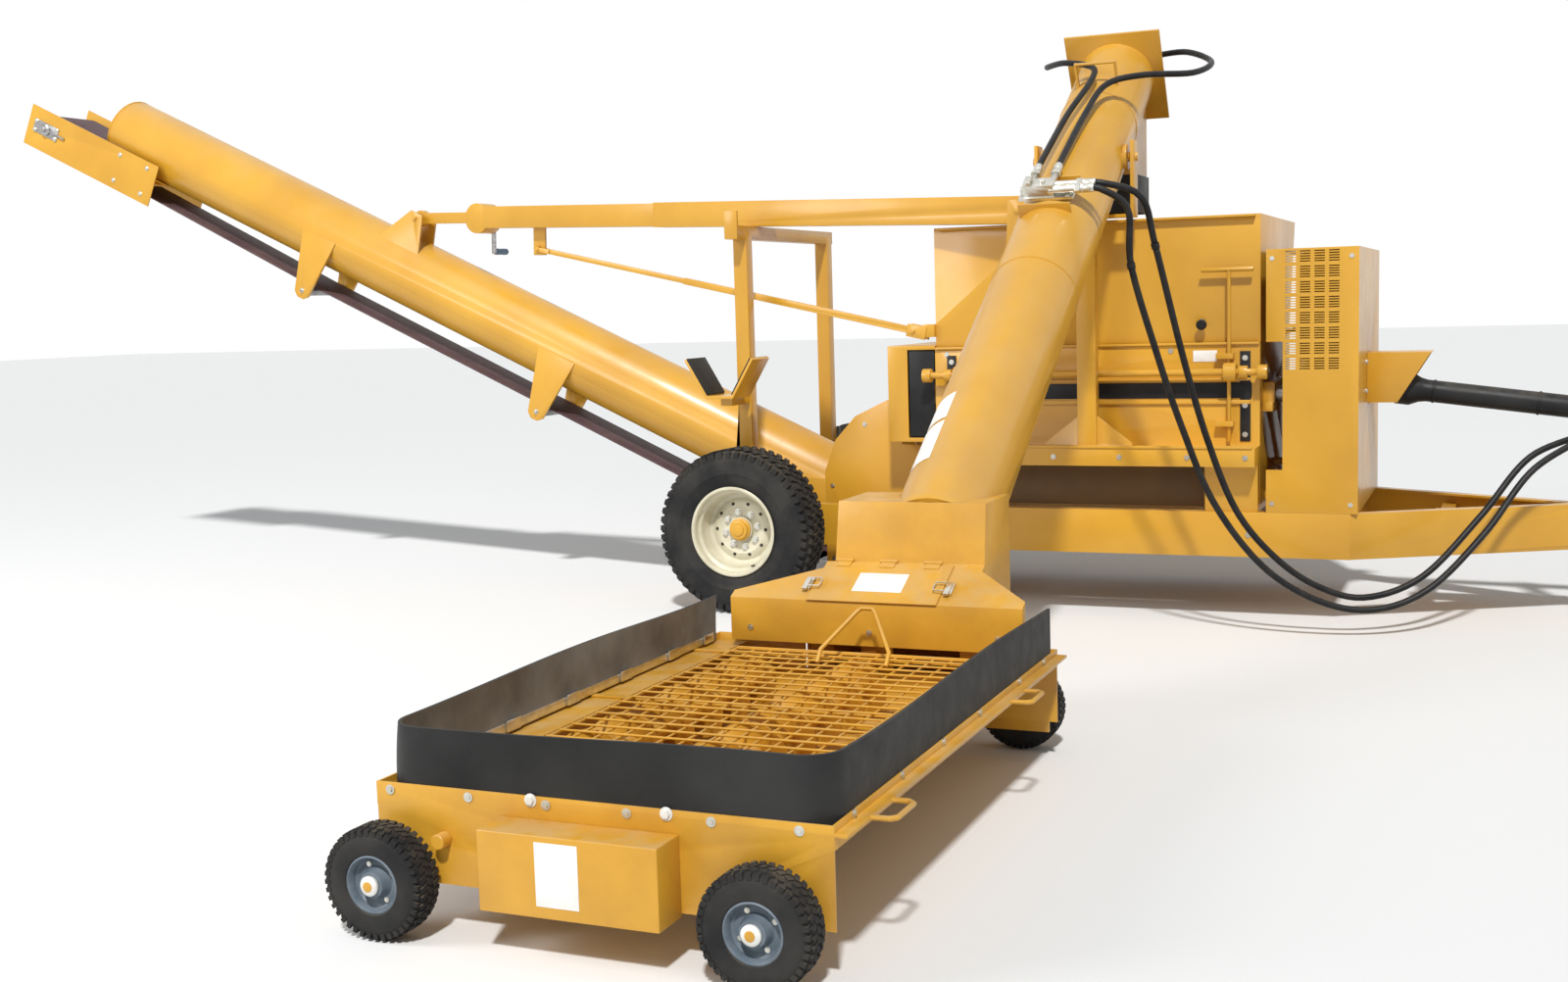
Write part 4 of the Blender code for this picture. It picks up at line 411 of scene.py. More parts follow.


# %% [markdown]
# ## Hoses
# Oil runs from the tractor through two hoses to a valve block on the auger, and
# through two more from the block to the motor at the auger's top.  Each is one
# length of 28 mm rubber hose.  The two long ones are held beside the swivel, where
# each is cut into an upper and a lower stretch, and they hang in a low bow to the
# dock on the tongue.

# %% Routes of the hoses
PIVOT_Y, AUGER_SLOPE = -0.62, math.atan(0.6407)
PIVOT_Z = 0.76 + (2.66 + PIVOT_Y) * 0.6407
AUGER_R, AUGER_TOP, AUGER_FOOT = 0.1775, -0.79, 2.62
HOSE_R, GAP, BLOCK_ALONG = 0.014, 0.0003, 0.62
DOCK_X, DOCK_Z, DOCK_Y = 2.12, 1.03, {"right": -0.13, "left": -0.19}
AUGER = axes(at(0, PIVOT_Y, PIVOT_Z), (0, -math.cos(AUGER_SLOPE), -math.sin(AUGER_SLOPE)))


def on_auger(along, side, up):
    return AUGER @ Vector((along, side, up))


def smooth_route(points, step, lead=0.025):
    """Evenly spaced points on a smooth curve that leaves and arrives straight."""
    knots = [Vector(p) for p in points]
    out = (knots[1] - knots[0]).normalized() * lead
    home = (knots[-2] - knots[-1]).normalized() * lead
    knots = ([knots[0] - out, knots[0], knots[0] + out, knots[0] + 2 * out] + knots[1:-1]
             + [knots[-1] + 2 * home, knots[-1] + home, knots[-1], knots[-1] - home])
    fine = []
    for i in range(1, len(knots) - 2):
        p0, p1, p2, p3 = knots[i - 1:i + 3]
        for k in range(20):
            t = k / 20
            fine.append(0.5 * (2 * p1 + (p2 - p0) * t + (2 * p0 - 5 * p1 + 4 * p2 - p3) * t ** 2
                               + (3 * p1 - p0 - 3 * p2 + p3) * t ** 3))
    fine = fine[20:-20]
    total = sum((b - a).length for a, b in zip(fine, fine[1:]))
    spacing = total / max(2, round(total / step))
    route, walked = [knots[1], fine[0]], 0.0
    for a, b in zip(fine, fine[1:]):
        walked += (b - a).length
        if walked >= spacing - 1e-6:
            route.append(b)
            walked = 0.0
    if (route[-1] - knots[-3]).length < spacing / 2:
        route.pop()
    return route + [knots[-3], knots[-2]]


def hose_routes():
    port, top = AUGER_TOP - 0.012 - GAP - 0.09, AUGER_R + GAP
    block_top, ports = BLOCK_ALONG - 0.125 - GAP, (-0.085, 0.0)
    routes = {}
    routes["motor_hose_left"] = smooth_route([
        on_auger(port, -0.106 - GAP, 0.05), on_auger(port, -0.16, 0.05), on_auger(port + 0.06, -0.27, 0.08),
        on_auger(port + 0.20, -0.30, 0.13), on_auger(port + 0.36, -0.17, 0.22),
        on_auger(port + 0.46, -0.02, 0.235), on_auger(port + 0.60, 0.00, 0.235),
        on_auger(port + 0.90, -0.05, 0.225), on_auger(block_top - 0.10, ports[0], top + 0.036),
        on_auger(block_top, ports[0], top + 0.036)], HOSE_R * 2)
    routes["motor_hose_right"] = smooth_route([
        on_auger(port, 0.106 + GAP, 0.05), on_auger(port, 0.16, 0.05), on_auger(port + 0.05, 0.33, 0.08),
        on_auger(port + 0.22, 0.47, 0.10), on_auger(port + 0.42, 0.42, 0.15),
        on_auger(port + 0.55, 0.22, 0.22),
        on_auger(port + 0.66, 0.08, 0.24), on_auger(port + 0.90, 0.03, 0.225),
        on_auger(block_top - 0.10, ports[1], top + 0.036),
        on_auger(block_top, ports[1], top + 0.036)], HOSE_R * 2)
    outlets = [on_auger(BLOCK_ALONG + along, 0.13 + GAP, top + 0.036) for along in (-0.018, 0.022)]
    across = Vector((1, 0, 0))
    for name, start, tie, hang in (
            ("right", outlets[0], at(0.40, -1.10, 1.66),
             [at(0.50, -1.04, 1.20), at(0.59, -0.97, 0.84), at(0.70, -0.92, 0.54), at(0.85, -0.87, 0.34),
              at(1.02, -0.81, 0.21), at(1.21, -0.75, 0.16), at(1.43, -0.63, 0.24), at(1.65, -0.46, 0.48),
              at(1.84, -0.31, 0.72)]),
            ("left", outlets[1], at(0.32, -1.20, 1.58),
             [at(0.41, -1.14, 1.22), at(0.50, -1.06, 0.90), at(0.62, -1.00, 0.58), at(0.81, -0.94, 0.31),
              at(1.03, -0.88, 0.16), at(1.25, -0.81, 0.12), at(1.46, -0.70, 0.20), at(1.67, -0.54, 0.42),
              at(1.85, -0.38, 0.67)])):
        dock = at(DOCK_X, DOCK_Y[name], DOCK_Z - GAP)
        middle = (start + across * 0.14 + tie) / 2 + Vector((0.02, 0, 0.07))
        whole = smooth_route([start, start + across * 0.07, middle, tie, *hang,
                              dock - Vector((0.03, 0.02, 0.20)),
                              dock - Vector((0, 0, 0.08)), dock], HOSE_R * 2)
        split = min(range(len(whole)), key=lambda k: (whole[k] - tie).length)
        routes["tractor_hose_" + name + "_upper"] = whole[:split + 1]
        routes["tractor_hose_" + name] = whole[split:]
    return routes


ROUTES = hose_routes()
for name, route in ROUTES.items():
    print(name, "length", round(sum((b - a).length for a, b in zip(route, route[1:])), 3), "m")

# %% Hose meshes
for name, route in ROUTES.items():
    node = name
    hose = bent_wire(name + "_rubber", route, HOSE_R, 4)
    hose.data.materials.clear()
    hose.data.materials.append(HOSE_RUBBER)
    for face in hose.data.polygons:
        face.use_smooth = True
    bpy.context.scene.collection.objects.link(hose)
    if name.startswith("motor"):
        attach(hose, "auger")
    elif name.endswith("upper"):
        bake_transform(hose)
    else:
        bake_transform(hose)
    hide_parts(node)

# %% [markdown]
# ## Bolts
# Hundreds of hexagon bolts hold this machine together.  One Geometry Nodes tree
# sets a head and its washer at every point of a small cloud of points, turned
# along the direction stored on each.  Sizes are named inputs.

# %% A tree that sets a bolt head on every point


def named_input(tree, name, kind, value):
    socket = tree.interface.new_socket(name=name, in_out="INPUT", socket_type=kind)
    if value is not None:
        socket.default_value = value
    return socket.identifier


def bolt_tree():
    tree = bpy.data.node_groups.new("bolts_on_points", "GeometryNodeTree")
    named_input(tree, "Points", "NodeSocketGeometry", None)
    sockets = {name: named_input(tree, name, "NodeSocketFloat", value) for name, value in
               (("Head Radius", 0.011), ("Head Height", 0.008), ("Washer Radius", 0.015),
                ("Washer Height", 0.002))}
    sockets["Finish"] = named_input(tree, "Finish", "NodeSocketMaterial", None)
    tree.interface.new_socket(name="Geometry", in_out="OUTPUT", socket_type="NodeSocketGeometry")
    nodes, links = tree.nodes, tree.links
    source, out = nodes.new("NodeGroupInput"), nodes.new("NodeGroupOutput")
    join = nodes.new("GeometryNodeJoinGeometry")
    for kind, sides in (("Head", 6), ("Washer", 16)):
        disc = nodes.new("GeometryNodeMeshCylinder")
        disc.inputs["Vertices"].default_value = sides
        links.new(source.outputs[kind + " Radius"], disc.inputs["Radius"])
        links.new(source.outputs[kind + " Height"], disc.inputs["Depth"])
        half, lift, stack = (nodes.new("ShaderNodeMath"), nodes.new("ShaderNodeCombineXYZ"),
                             nodes.new("GeometryNodeTransform"))
        half.operation = "MULTIPLY"
        half.inputs[1].default_value = 0.5
        links.new(source.outputs[kind + " Height"], half.inputs[0])
        links.new(half.outputs[0], lift.inputs["Z"])
        links.new(disc.outputs["Mesh"], stack.inputs["Geometry"])
        links.new(lift.outputs[0], stack.inputs["Translation"])
        links.new(stack.outputs[0], join.inputs[0])
    facing = nodes.new("GeometryNodeInputNamedAttribute")
    facing.data_type = "FLOAT_VECTOR"
    facing.inputs["Name"].default_value = "facing"
    turn = nodes.new("FunctionNodeAlignRotationToVector")
    links.new(facing.outputs["Attribute"], turn.inputs["Vector"])
    put = nodes.new("GeometryNodeInstanceOnPoints")
    links.new(source.outputs["Points"], put.inputs["Points"])
    links.new(join.outputs[0], put.inputs["Instance"])
    links.new(turn.outputs[0], put.inputs["Rotation"])
    real, paint = nodes.new("GeometryNodeRealizeInstances"), nodes.new("GeometryNodeSetMaterial")
    links.new(put.outputs[0], real.inputs[0])
    links.new(real.outputs[0], paint.inputs["Geometry"])
    links.new(source.outputs["Finish"], paint.inputs["Material"])
    links.new(paint.outputs[0], out.inputs[0])
    return tree, sockets


BOLTS, BOLT_SOCKETS = bolt_tree()


def bolts(name, places, body, material=ZINC, slot="zinc", head=0.010, tall=0.007, washer=0.0):
    """Bolt heads at (point, direction) pairs."""
    mesh = bpy.data.meshes.new(name)
    mesh.from_pydata([tuple(Vector(point)) for point, _ in places], [], [])
    facing = mesh.attributes.new("facing", "FLOAT_VECTOR", "POINT")
    for i, (_, direction) in enumerate(places):
        facing.data[i].vector = Vector(direction).normalized()
    cloud = bpy.data.objects.new(name, mesh)
    bpy.context.scene.collection.objects.link(cloud)
    setter = cloud.modifiers.new("bolts", "NODES")
    setter.node_group = BOLTS
    for key, value in (("Head Radius", head), ("Head Height", tall), ("Washer Radius", washer or head * 1.45),
                       ("Washer Height", 0.002), ("Finish", material)):
        setter[BOLT_SOCKETS[key]] = value
    made = baked(cloud)
    print(name, len(places), "bolts", len(made.data.polygons), "faces")
    return settle(made, None, body, slot)


# %% [markdown]
# ## Carried-over solids
# Most welded parts already have the right shape: channel rails, plates, boxes
# and tubes.  They look stiff because every edge is a perfect knife edge.  A
# copy of each is merged into clean faces, its edges are rounded as paint and
# bent sheet round them, and it stands for the plain solid.

# %% Rounded copies of the plain solids
EDGE = {"main_frame": 0.004, "axle_beam": 0.004, "gantry": 0.004, "boom_outer": 0.004, "boom_inner": 0.003,
        "mill_body": 0.002, "intake_pan": 0.0015, "tail_boot": 0.0015, "feed_hopper": 0.0015, "hood": 0.0015,
        "drive_shield": 0.0015, "rear_cover": 0.0015, "pto_guard": 0.0015, "gear_cover": 0.003,
        "auger_tube": 0.0015, "conveyor_tube": 0.0015}
FINISH_OF_SLOT = {"yellow_paint": YELLOW, "cream_paint": CREAM, "tyre_rubber": TYRE, "steel": STEEL,
                  "zinc": ZINC,
                  "black_plastic": BLACK, "belt_rubber": BELT_RUBBER, "black_rubber": SKIRT_RUBBER}
MADE_ELSEWHERE = {"grate", "hopper_auger_left", "hopper_auger_right", "main_auger",
                  "discharge_auger", "rim_left",
                  "rim_right", "tyre_left", "tyre_right", "skirt", "drive_shield"}


def rounded_copy(node, edge):
    source = frame["nodes"][node]
    shape = bmesh.new()
    shape.from_mesh(source.data)
    bmesh.ops.remove_doubles(shape, verts=shape.verts[:], dist=2e-5)
    bmesh.ops.dissolve_limit(shape, angle_limit=math.radians(0.6), verts=shape.verts[:], edges=shape.edges[:])
    mesh = bpy.data.meshes.new(node + "_finished")
    shape.to_mesh(mesh)
    shape.free()
    copy = bpy.data.objects.new(node + "_finished", mesh)
    ease = copy.modifiers.new("eased_edges", "BEVEL")
    ease.width = edge
    ease.segments = 2
    ease.limit_method = "ANGLE"
    ease.angle_limit = math.radians(40)
    ease.use_clamp_overlap = True
    return baked(copy)


for node in sorted(BODY_OF):
    if node in MADE_ELSEWHERE or "hose" in node or "small_wheel" in node:
        continue
    paint = PAN_YELLOW if node in ("intake_pan", "hood", "hood_lid",
                                   "gear_cover") else FINISH_OF_SLOT[SLOT_OF[node]]
    copy = rounded_copy(node, EDGE.get(node, 0.001))
    settle(copy, paint, BODY_OF[node], SLOT_OF[node], node)

# %% [markdown]
# ## Transport wheels
# A pressed steel rim carries a wide tyre with a chunky tread.  The rim's dish,
# its eight lug bolts, its ring of small holes and the yellow hub cap all show.
# The profiles are spun round the axle; the tread blocks repeat round the tyre,
# so a Geometry Nodes tree sets them.

# %% A tree that sets tread blocks round a tyre


def tread_tree():
    tree = bpy.data.node_groups.new("tread_round_tyre", "GeometryNodeTree")
    sockets = {"Count": named_input(tree, "Count", "NodeSocketInt", 40)}
    for name, value in (("Radius", 0.38), ("Along", 0.0), ("Length", 0.03), ("Width", 0.05),
                        ("Height", 0.012),
                        ("Skew", 0.4), ("Start", 0.0)):
        sockets[name] = named_input(tree, name, "NodeSocketFloat", value)
    sockets["Finish"] = named_input(tree, "Finish", "NodeSocketMaterial", None)
    tree.interface.new_socket(name="Geometry", in_out="OUTPUT", socket_type="NodeSocketGeometry")
    nodes, links = tree.nodes, tree.links
    source, out = nodes.new("NodeGroupInput"), nodes.new("NodeGroupOutput")
    ring, turned = nodes.new("GeometryNodeMeshCircle"), nodes.new("GeometryNodeTransform")
    links.new(source.outputs["Count"], ring.inputs["Vertices"])
    links.new(source.outputs["Radius"], ring.inputs["Radius"])
    spin, lift = nodes.new("ShaderNodeCombineXYZ"), nodes.new("ShaderNodeCombineXYZ")
    links.new(source.outputs["Start"], spin.inputs["Z"])
    links.new(source.outputs["Along"], lift.inputs["Z"])
    links.new(ring.outputs[0], turned.inputs["Geometry"])
    links.new(spin.outputs[0], turned.inputs["Rotation"])
    links.new(lift.outputs[0], turned.inputs["Translation"])
    cube, size = nodes.new("GeometryNodeMeshCube"), nodes.new("ShaderNodeCombineXYZ")
    links.new(source.outputs["Height"], size.inputs["X"])
    links.new(source.outputs["Length"], size.inputs["Y"])
    links.new(source.outputs["Width"], size.inputs["Z"])
    links.new(size.outputs[0], cube.inputs["Size"])
    lean, skewed = nodes.new("ShaderNodeCombineXYZ"), nodes.new("GeometryNodeTransform")
    links.new(source.outputs["Skew"], lean.inputs["X"])
    links.new(cube.outputs["Mesh"], skewed.inputs["Geometry"])
    links.new(lean.outputs[0], skewed.inputs["Rotation"])
    place, flat, outward = (nodes.new("GeometryNodeInputPosition"), nodes.new("ShaderNodeVectorMath"),
                            nodes.new("FunctionNodeAlignRotationToVector"))
    flat.operation = "MULTIPLY"
    flat.inputs[1].default_value = (1, 1, 0)
    outward.axis, outward.pivot_axis = "X", "Z"
    links.new(place.outputs[0], flat.inputs[0])
    links.new(flat.outputs[0], outward.inputs["Vector"])
    put = nodes.new("GeometryNodeInstanceOnPoints")
    links.new(turned.outputs[0], put.inputs["Points"])
    links.new(skewed.outputs[0], put.inputs["Instance"])
    links.new(outward.outputs[0], put.inputs["Rotation"])
    real, paint = nodes.new("GeometryNodeRealizeInstances"), nodes.new("GeometryNodeSetMaterial")
    links.new(put.outputs[0], real.inputs[0])
    links.new(real.outputs[0], paint.inputs["Geometry"])
    links.new(source.outputs["Finish"], paint.inputs["Material"])
    links.new(paint.outputs[0], out.inputs[0])
    return tree, sockets


TREAD, TREAD_SOCKETS = tread_tree()


def tread_row(name, lie, **sizes):
    row = bpy.data.objects.new(name, bpy.data.meshes.new(name))
    setter = row.modifiers.new("tread", "NODES")
    setter.node_group = TREAD
    for key, value in {**sizes, "Finish": TYRE}.items():
        setter[TREAD_SOCKETS[key]] = value
    row.matrix_world = lie
    return baked(row)


def wheel_lie(centre, outward):
    return axes(centre, outward, (0, 0, 1)) @ Matrix.Rotation(math.pi / 2, 4, "Y")


# %% The two transport wheels
SPINDLE_R = 0.028


def transport_wheel(side, name):
    low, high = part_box("tyre_" + name)
    centre = Vector([(low[i] + high[i]) / 2 for i in range(3)])
    out, lie = Vector((0, side, 0)), wheel_lie(centre, (0, side, 0))
    carcass = [(0.2053, -0.095), (0.222, -0.108), (0.25, -0.114), (0.285, -0.122), (0.318, -0.1245),
               (0.350, -0.119),
               (0.372, -0.104), (0.383, -0.080), (0.386, -0.04), (0.387, 0.0), (0.386, 0.04), (0.383, 0.080),
               (0.372, 0.104), (0.350, 0.119), (0.318, 0.1245), (0.285, 0.122), (0.279, 0.1235),
               (0.272, 0.120),
               (0.25, 0.114), (0.222, 0.108), (0.2053, 0.095)]
    tyre = lathe("tyre_carcass", carcass, centre, out, 96)
    rows = [tread_row("tread", lie, Count=54, Radius=0.3865, Along=along, Length=0.026, Width=0.034,
                      Height=0.016,
                      Skew=skew, Start=start)
            for along, skew, start in ((-0.066, 0.35, 0.0), (-0.022, -0.30, 0.058), (0.022, 0.30, 0.0),
                                       (0.066, -0.35, 0.058))]
    for along in (-0.1065, 0.1065):
        rows.append(tread_row("shoulder", lie, Count=54, Radius=0.3665, Along=along, Length=0.024,
                              Width=0.026,
                              Height=0.028, Skew=0.0, Start=0.03))
    settle(gathered("tyre_" + name + "_treaded", [tyre] + rows), TYRE, "wheel_" + name,
           "tyre_rubber", "tyre_" + name)

    rim = [(SPINDLE_R + GAP, -0.088), (0.058, -0.088), (0.06, -0.03), (0.10, -0.026),
           (0.152, -0.014), (0.164, -0.03),
           (0.170, -0.10), (0.198, -0.107), (0.2045, -0.104), (0.2045, 0.100), (0.214, 0.108),
           (0.2165, 0.1155),
           (0.212, 0.1195), (0.204, 0.1195), (0.1985, 0.112), (0.196, 0.085), (0.182, 0.075), (0.177, 0.030),
           (0.170, 0.006), (0.152, 0.000), (0.140, 0.008), (0.118, 0.013), (0.100, 0.004), (0.062, 0.002),
           (0.060, 0.0), (0.060, 0.020), (SPINDLE_R + GAP, 0.020)]
    steel = lathe("rim_" + name + "_dished", rim, centre, out, 96)
    settle(steel, CREAM, "wheel_" + name, "cream_paint", "rim_" + name, smooth=28)
    cap = [(SPINDLE_R + GAP, 0.0195), (0.054, 0.0195), (0.054, 0.030), (0.046, 0.034),
           (0.044, 0.047), (0.038, 0.0495),
           (SPINDLE_R + GAP, 0.0495)]
    settle(lathe("hub_" + name, cap, centre, out, 48), YELLOW, "wheel_" + name, "yellow_paint")
    places, holes = [], []
    for k in range(8):
        angle = math.tau * k / 8 + 0.2
        spot = centre + 0.085 * Vector((math.cos(angle), 0, math.sin(angle)))
        places.append((spot + out * 0.0035, out))
    for k in range(10):
        angle = math.tau * k / 10
        spot = centre + 0.127 * Vector((math.cos(angle), 0, math.sin(angle)))
        holes.append(solid_rod("vent", spot + out * 0.0095, spot + out * 0.0125, 0.0085, 16, 0.0005))
    # Painted shade: dark discs on the rim face stand in for the shade inside its ring of holes.
    settle(gathered("rim_vent_painted_shade_" + name, holes), PAINTED_SHADE_DARK, "wheel_" + name, "cream_paint")
    bolts("lug_bolts_" + name, places, "wheel_" + name, head=0.0125, tall=0.016, washer=0.017)
    stem = centre + 0.187 * Vector((0.5, 0, -0.866))
    settle(bent_wire("valve_stem_" + name, [stem + out * 0.07, stem + out * 0.085,
                                            stem + out * 0.112], 0.004),
           HOSE_RUBBER, "wheel_" + name, "tyre_rubber")


transport_wheel(-1, "right")
transport_wheel(1, "left")
print("transport wheels done")

# %% [markdown]
# ## The four small wheels
# These are solid rubber wheels on pressed blue-grey hubs.  Each turns on a stub
# axle with a white plastic cap pushed over its end.

# %% Small wheels
SMALL_R, STUB_R = 0.1375, 0.0125


def small_wheel(name):
    node = "small_wheel_" + name
    low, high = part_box(node)
    centre = Vector([(low[i] + high[i]) / 2 for i in range(3)])
    side = -1 if name.startswith("front") else 1
    out, lie = Vector((0, side, 0)), wheel_lie(centre, (0, side, 0))
    body = "caster_" + name
    tyre = [(0.070, -0.040), (0.074, -0.044), (0.092, -0.047), (0.112, -0.045), (0.126, -0.038),
            (0.1335, -0.026),
            (0.1345, 0.0), (0.1335, 0.026), (0.126, 0.038), (0.112, 0.045), (0.092, 0.047), (0.074, 0.044),
            (0.070, 0.040)]
    rows = [tread_row("tread", lie, Count=40, Radius=0.1340, Along=along, Length=0.013, Width=0.019,
                      Height=0.0068,
                      Skew=skew, Start=start)
            for along, skew, start in ((-0.022, 0.4, 0.0), (0.0, -0.4, 0.078), (0.022, 0.4, 0.0))]
    for along in (-0.0385, 0.0385):
        rows.append(tread_row("shoulder", lie, Count=40, Radius=0.1255, Along=along, Length=0.011,
                              Width=0.010,
                              Height=0.014, Skew=0.0, Start=0.04))
    rubber = gathered(node + "_tyre", [lathe("carcass", tyre, centre, out, 72)] + rows)
    settle(rubber, TYRE, body, "tyre_rubber", node)
    hub = [(STUB_R + GAP, -0.0425), (0.030, -0.0425), (0.034, -0.020), (0.058, -0.014), (0.066, -0.036),
           (0.0712, -0.041), (0.0712, 0.041), (0.067, 0.0435), (0.0635, 0.038), (0.061, 0.020),
           (0.054, 0.013),
           (0.040, 0.016), (0.034, 0.024), (0.031, 0.0425), (STUB_R + GAP, 0.0425)]
    settle(lathe(node + "_hub", hub, centre, out, 56), HUB_GREY, body, "tyre_rubber", smooth=30)
    places = [(centre + 0.047 * Vector((math.cos(a), 0, math.sin(a))) + out * 0.0145, out)
              for a in (math.tau * k / 4 + 0.5 for k in range(4))]
    bolts(node + "_hub_bolts", places, body, head=0.0045, tall=0.004)


for name in ("front_left", "front_right", "rear_left", "rear_right"):
    small_wheel(name)
caps = []
for x in (-0.67, 0.31):
    for y, out in ((-5.045, -1), (-2.93, 1)):
        tip = at(x, y + out * 0.0575, SMALL_R)
        caps.append(lathe("cap", [(0.0, -0.009), (0.022, -0.009), (0.024, -0.006), (0.024, 0.0),
                                  (0.020, 0.0035),
                                  (0.012, 0.0048), (0.0, 0.005)], tip - Vector((0, out * 0.006, 0)),
                                  (0, out, 0), 32))
settle(gathered("axle_caps", caps), CAP_WHITE, "auger", "zinc")
print("small wheels done")

# %% [markdown]
# ## Screws
# A screw is a pipe with a flight wound round it.  Its rim must run smoothly,
# because the hopper's two screws lie open under the grate.

# %% Screws with smooth flights
PAN_X0, PAN_X1, PAN_Y0, PAN_Y1 = -0.72, 0.46, -4.98, -3.05
FEEDER_X, FEEDER_Z = (-0.53, -0.145), 0.232


def flight(name, start, end, outer, core, pitch, blade=0.005, steps=40):
    start, end = Vector(start), Vector(end)
    lie, long = axes(start, end - start, (0.3, 0, 1)), (end - start).length - blade
    turns = long / pitch
    count = round(turns * steps)
    shape, rows = bmesh.new(), []
    for k in range(count + 1):
        along, angle = long * k / count, math.tau * turns * k / count
        spoke = Vector((0, math.cos(angle), math.sin(angle)))
        rows.append([shape.verts.new(lie @ (Vector((along + lift, 0, 0)) + spoke * radius))
                     for radius, lift in ((core - 0.002, 0.0), (outer, 0.0), (outer, blade),
                                          (core - 0.002, blade))])
    for one, two in zip(rows, rows[1:]):
        for i in range(4):
            shape.faces.new((one[i], one[(i + 1) % 4], two[(i + 1) % 4], two[i]))
    shape.faces.new(rows[0])
    shape.faces.new(list(reversed(rows[-1])))
    return from_shape(name, shape)


for name, x in zip(("left", "right"), FEEDER_X):
    near, far = at(x, PAN_Y0, FEEDER_Z), at(x, PAN_Y1, FEEDER_Z)
    run = Vector((0, 1, 0))
    parts = [flight("flight", near + run * 0.04, far - run * 0.04, 0.098, 0.030, 0.20),
             solid_rod("pipe", near + run * 0.03, far - run * 0.03, 0.030),
             solid_rod("shaft", near - run * 0.036, far + run * 0.008, 0.018)]
    settle(gathered("hopper_screw_" + name, parts), PAN_YELLOW, "feeder_" + name, "yellow_paint",
           "hopper_auger_" + name)
parts = [flight("flight", on_auger(AUGER_TOP + 0.04, 0, 0), on_auger(AUGER_FOOT + 0.02, 0, 0),
                0.1645, 0.029, 0.37),
         solid_rod("pipe", on_auger(AUGER_TOP - 0.03, 0, 0), on_auger(AUGER_FOOT + 0.06, 0, 0), 0.029)]
settle(gathered("main_screw", parts), YELLOW, "auger_screw", "yellow_paint", "main_auger")
TROUGH_Z = 0.665
parts = [flight("flight", at(-1.09, 0, TROUGH_Z), at(0.70, 0, TROUGH_Z), 0.125, 0.030, 0.24),
         solid_rod("pipe", at(-1.10, 0, TROUGH_Z), at(0.71, 0, TROUGH_Z), 0.030),
         solid_rod("shaft", at(-1.14, 0, TROUGH_Z), at(0.78, 0, TROUGH_Z), 0.018)]
settle(gathered("trough_screw", parts), YELLOW, "discharge_screw", "yellow_paint", "discharge_auger")
print("screws done")

# %% [markdown]
# ## Grate
# Thin wires cross at about 65 mm, so that a boot can't reach the screws.  A
# Geometry Nodes tree lays a row of wires from a count, a spacing and a length.

# %% A tree that lays a row of wires


def wire_row_tree():
    tree = bpy.data.node_groups.new("row_of_wires", "GeometryNodeTree")
    sockets = {"Count": named_input(tree, "Count", "NodeSocketInt", 14)}
    for name, value in (("Spacing", 0.06), ("Length", 1.0), ("Radius", 0.003)):
        sockets[name] = named_input(tree, name, "NodeSocketFloat", value)
    sockets["Finish"] = named_input(tree, "Finish", "NodeSocketMaterial", None)
    tree.interface.new_socket(name="Geometry", in_out="OUTPUT", socket_type="NodeSocketGeometry")
    nodes, links = tree.nodes, tree.links
    source, out = nodes.new("NodeGroupInput"), nodes.new("NodeGroupOutput")
    line, gap = nodes.new("GeometryNodeMeshLine"), nodes.new("ShaderNodeCombineXYZ")
    links.new(source.outputs["Spacing"], gap.inputs["X"])
    links.new(source.outputs["Count"], line.inputs["Count"])
    links.new(gap.outputs[0], line.inputs["Offset"])
    wire, turned = nodes.new("GeometryNodeMeshCylinder"), nodes.new("GeometryNodeTransform")
    wire.inputs["Vertices"].default_value = 10
    links.new(source.outputs["Radius"], wire.inputs["Radius"])
    links.new(source.outputs["Length"], wire.inputs["Depth"])
    turned.inputs["Rotation"].default_value = (math.pi / 2, 0, 0)
    links.new(wire.outputs["Mesh"], turned.inputs["Geometry"])
    put = nodes.new("GeometryNodeInstanceOnPoints")
    links.new(line.outputs[0], put.inputs["Points"])
    links.new(turned.outputs[0], put.inputs["Instance"])
    real, paint = nodes.new("GeometryNodeRealizeInstances"), nodes.new("GeometryNodeSetMaterial")
    links.new(put.outputs[0], real.inputs[0])
    links.new(real.outputs[0], paint.inputs["Geometry"])
    links.new(source.outputs["Finish"], paint.inputs["Material"])
    links.new(paint.outputs[0], out.inputs[0])
    return tree, sockets


WIRES, WIRE_SOCKETS = wire_row_tree()


def wire_row(name, lie, paint, **sizes):
    row = bpy.data.objects.new(name, bpy.data.meshes.new(name))
    setter = row.modifiers.new("wires", "NODES")
    setter.node_group = WIRES
    for key, value in {**sizes, "Finish": paint}.items():
        setter[WIRE_SOCKETS[key]] = value
    row.matrix_world = lie
    return baked(row)


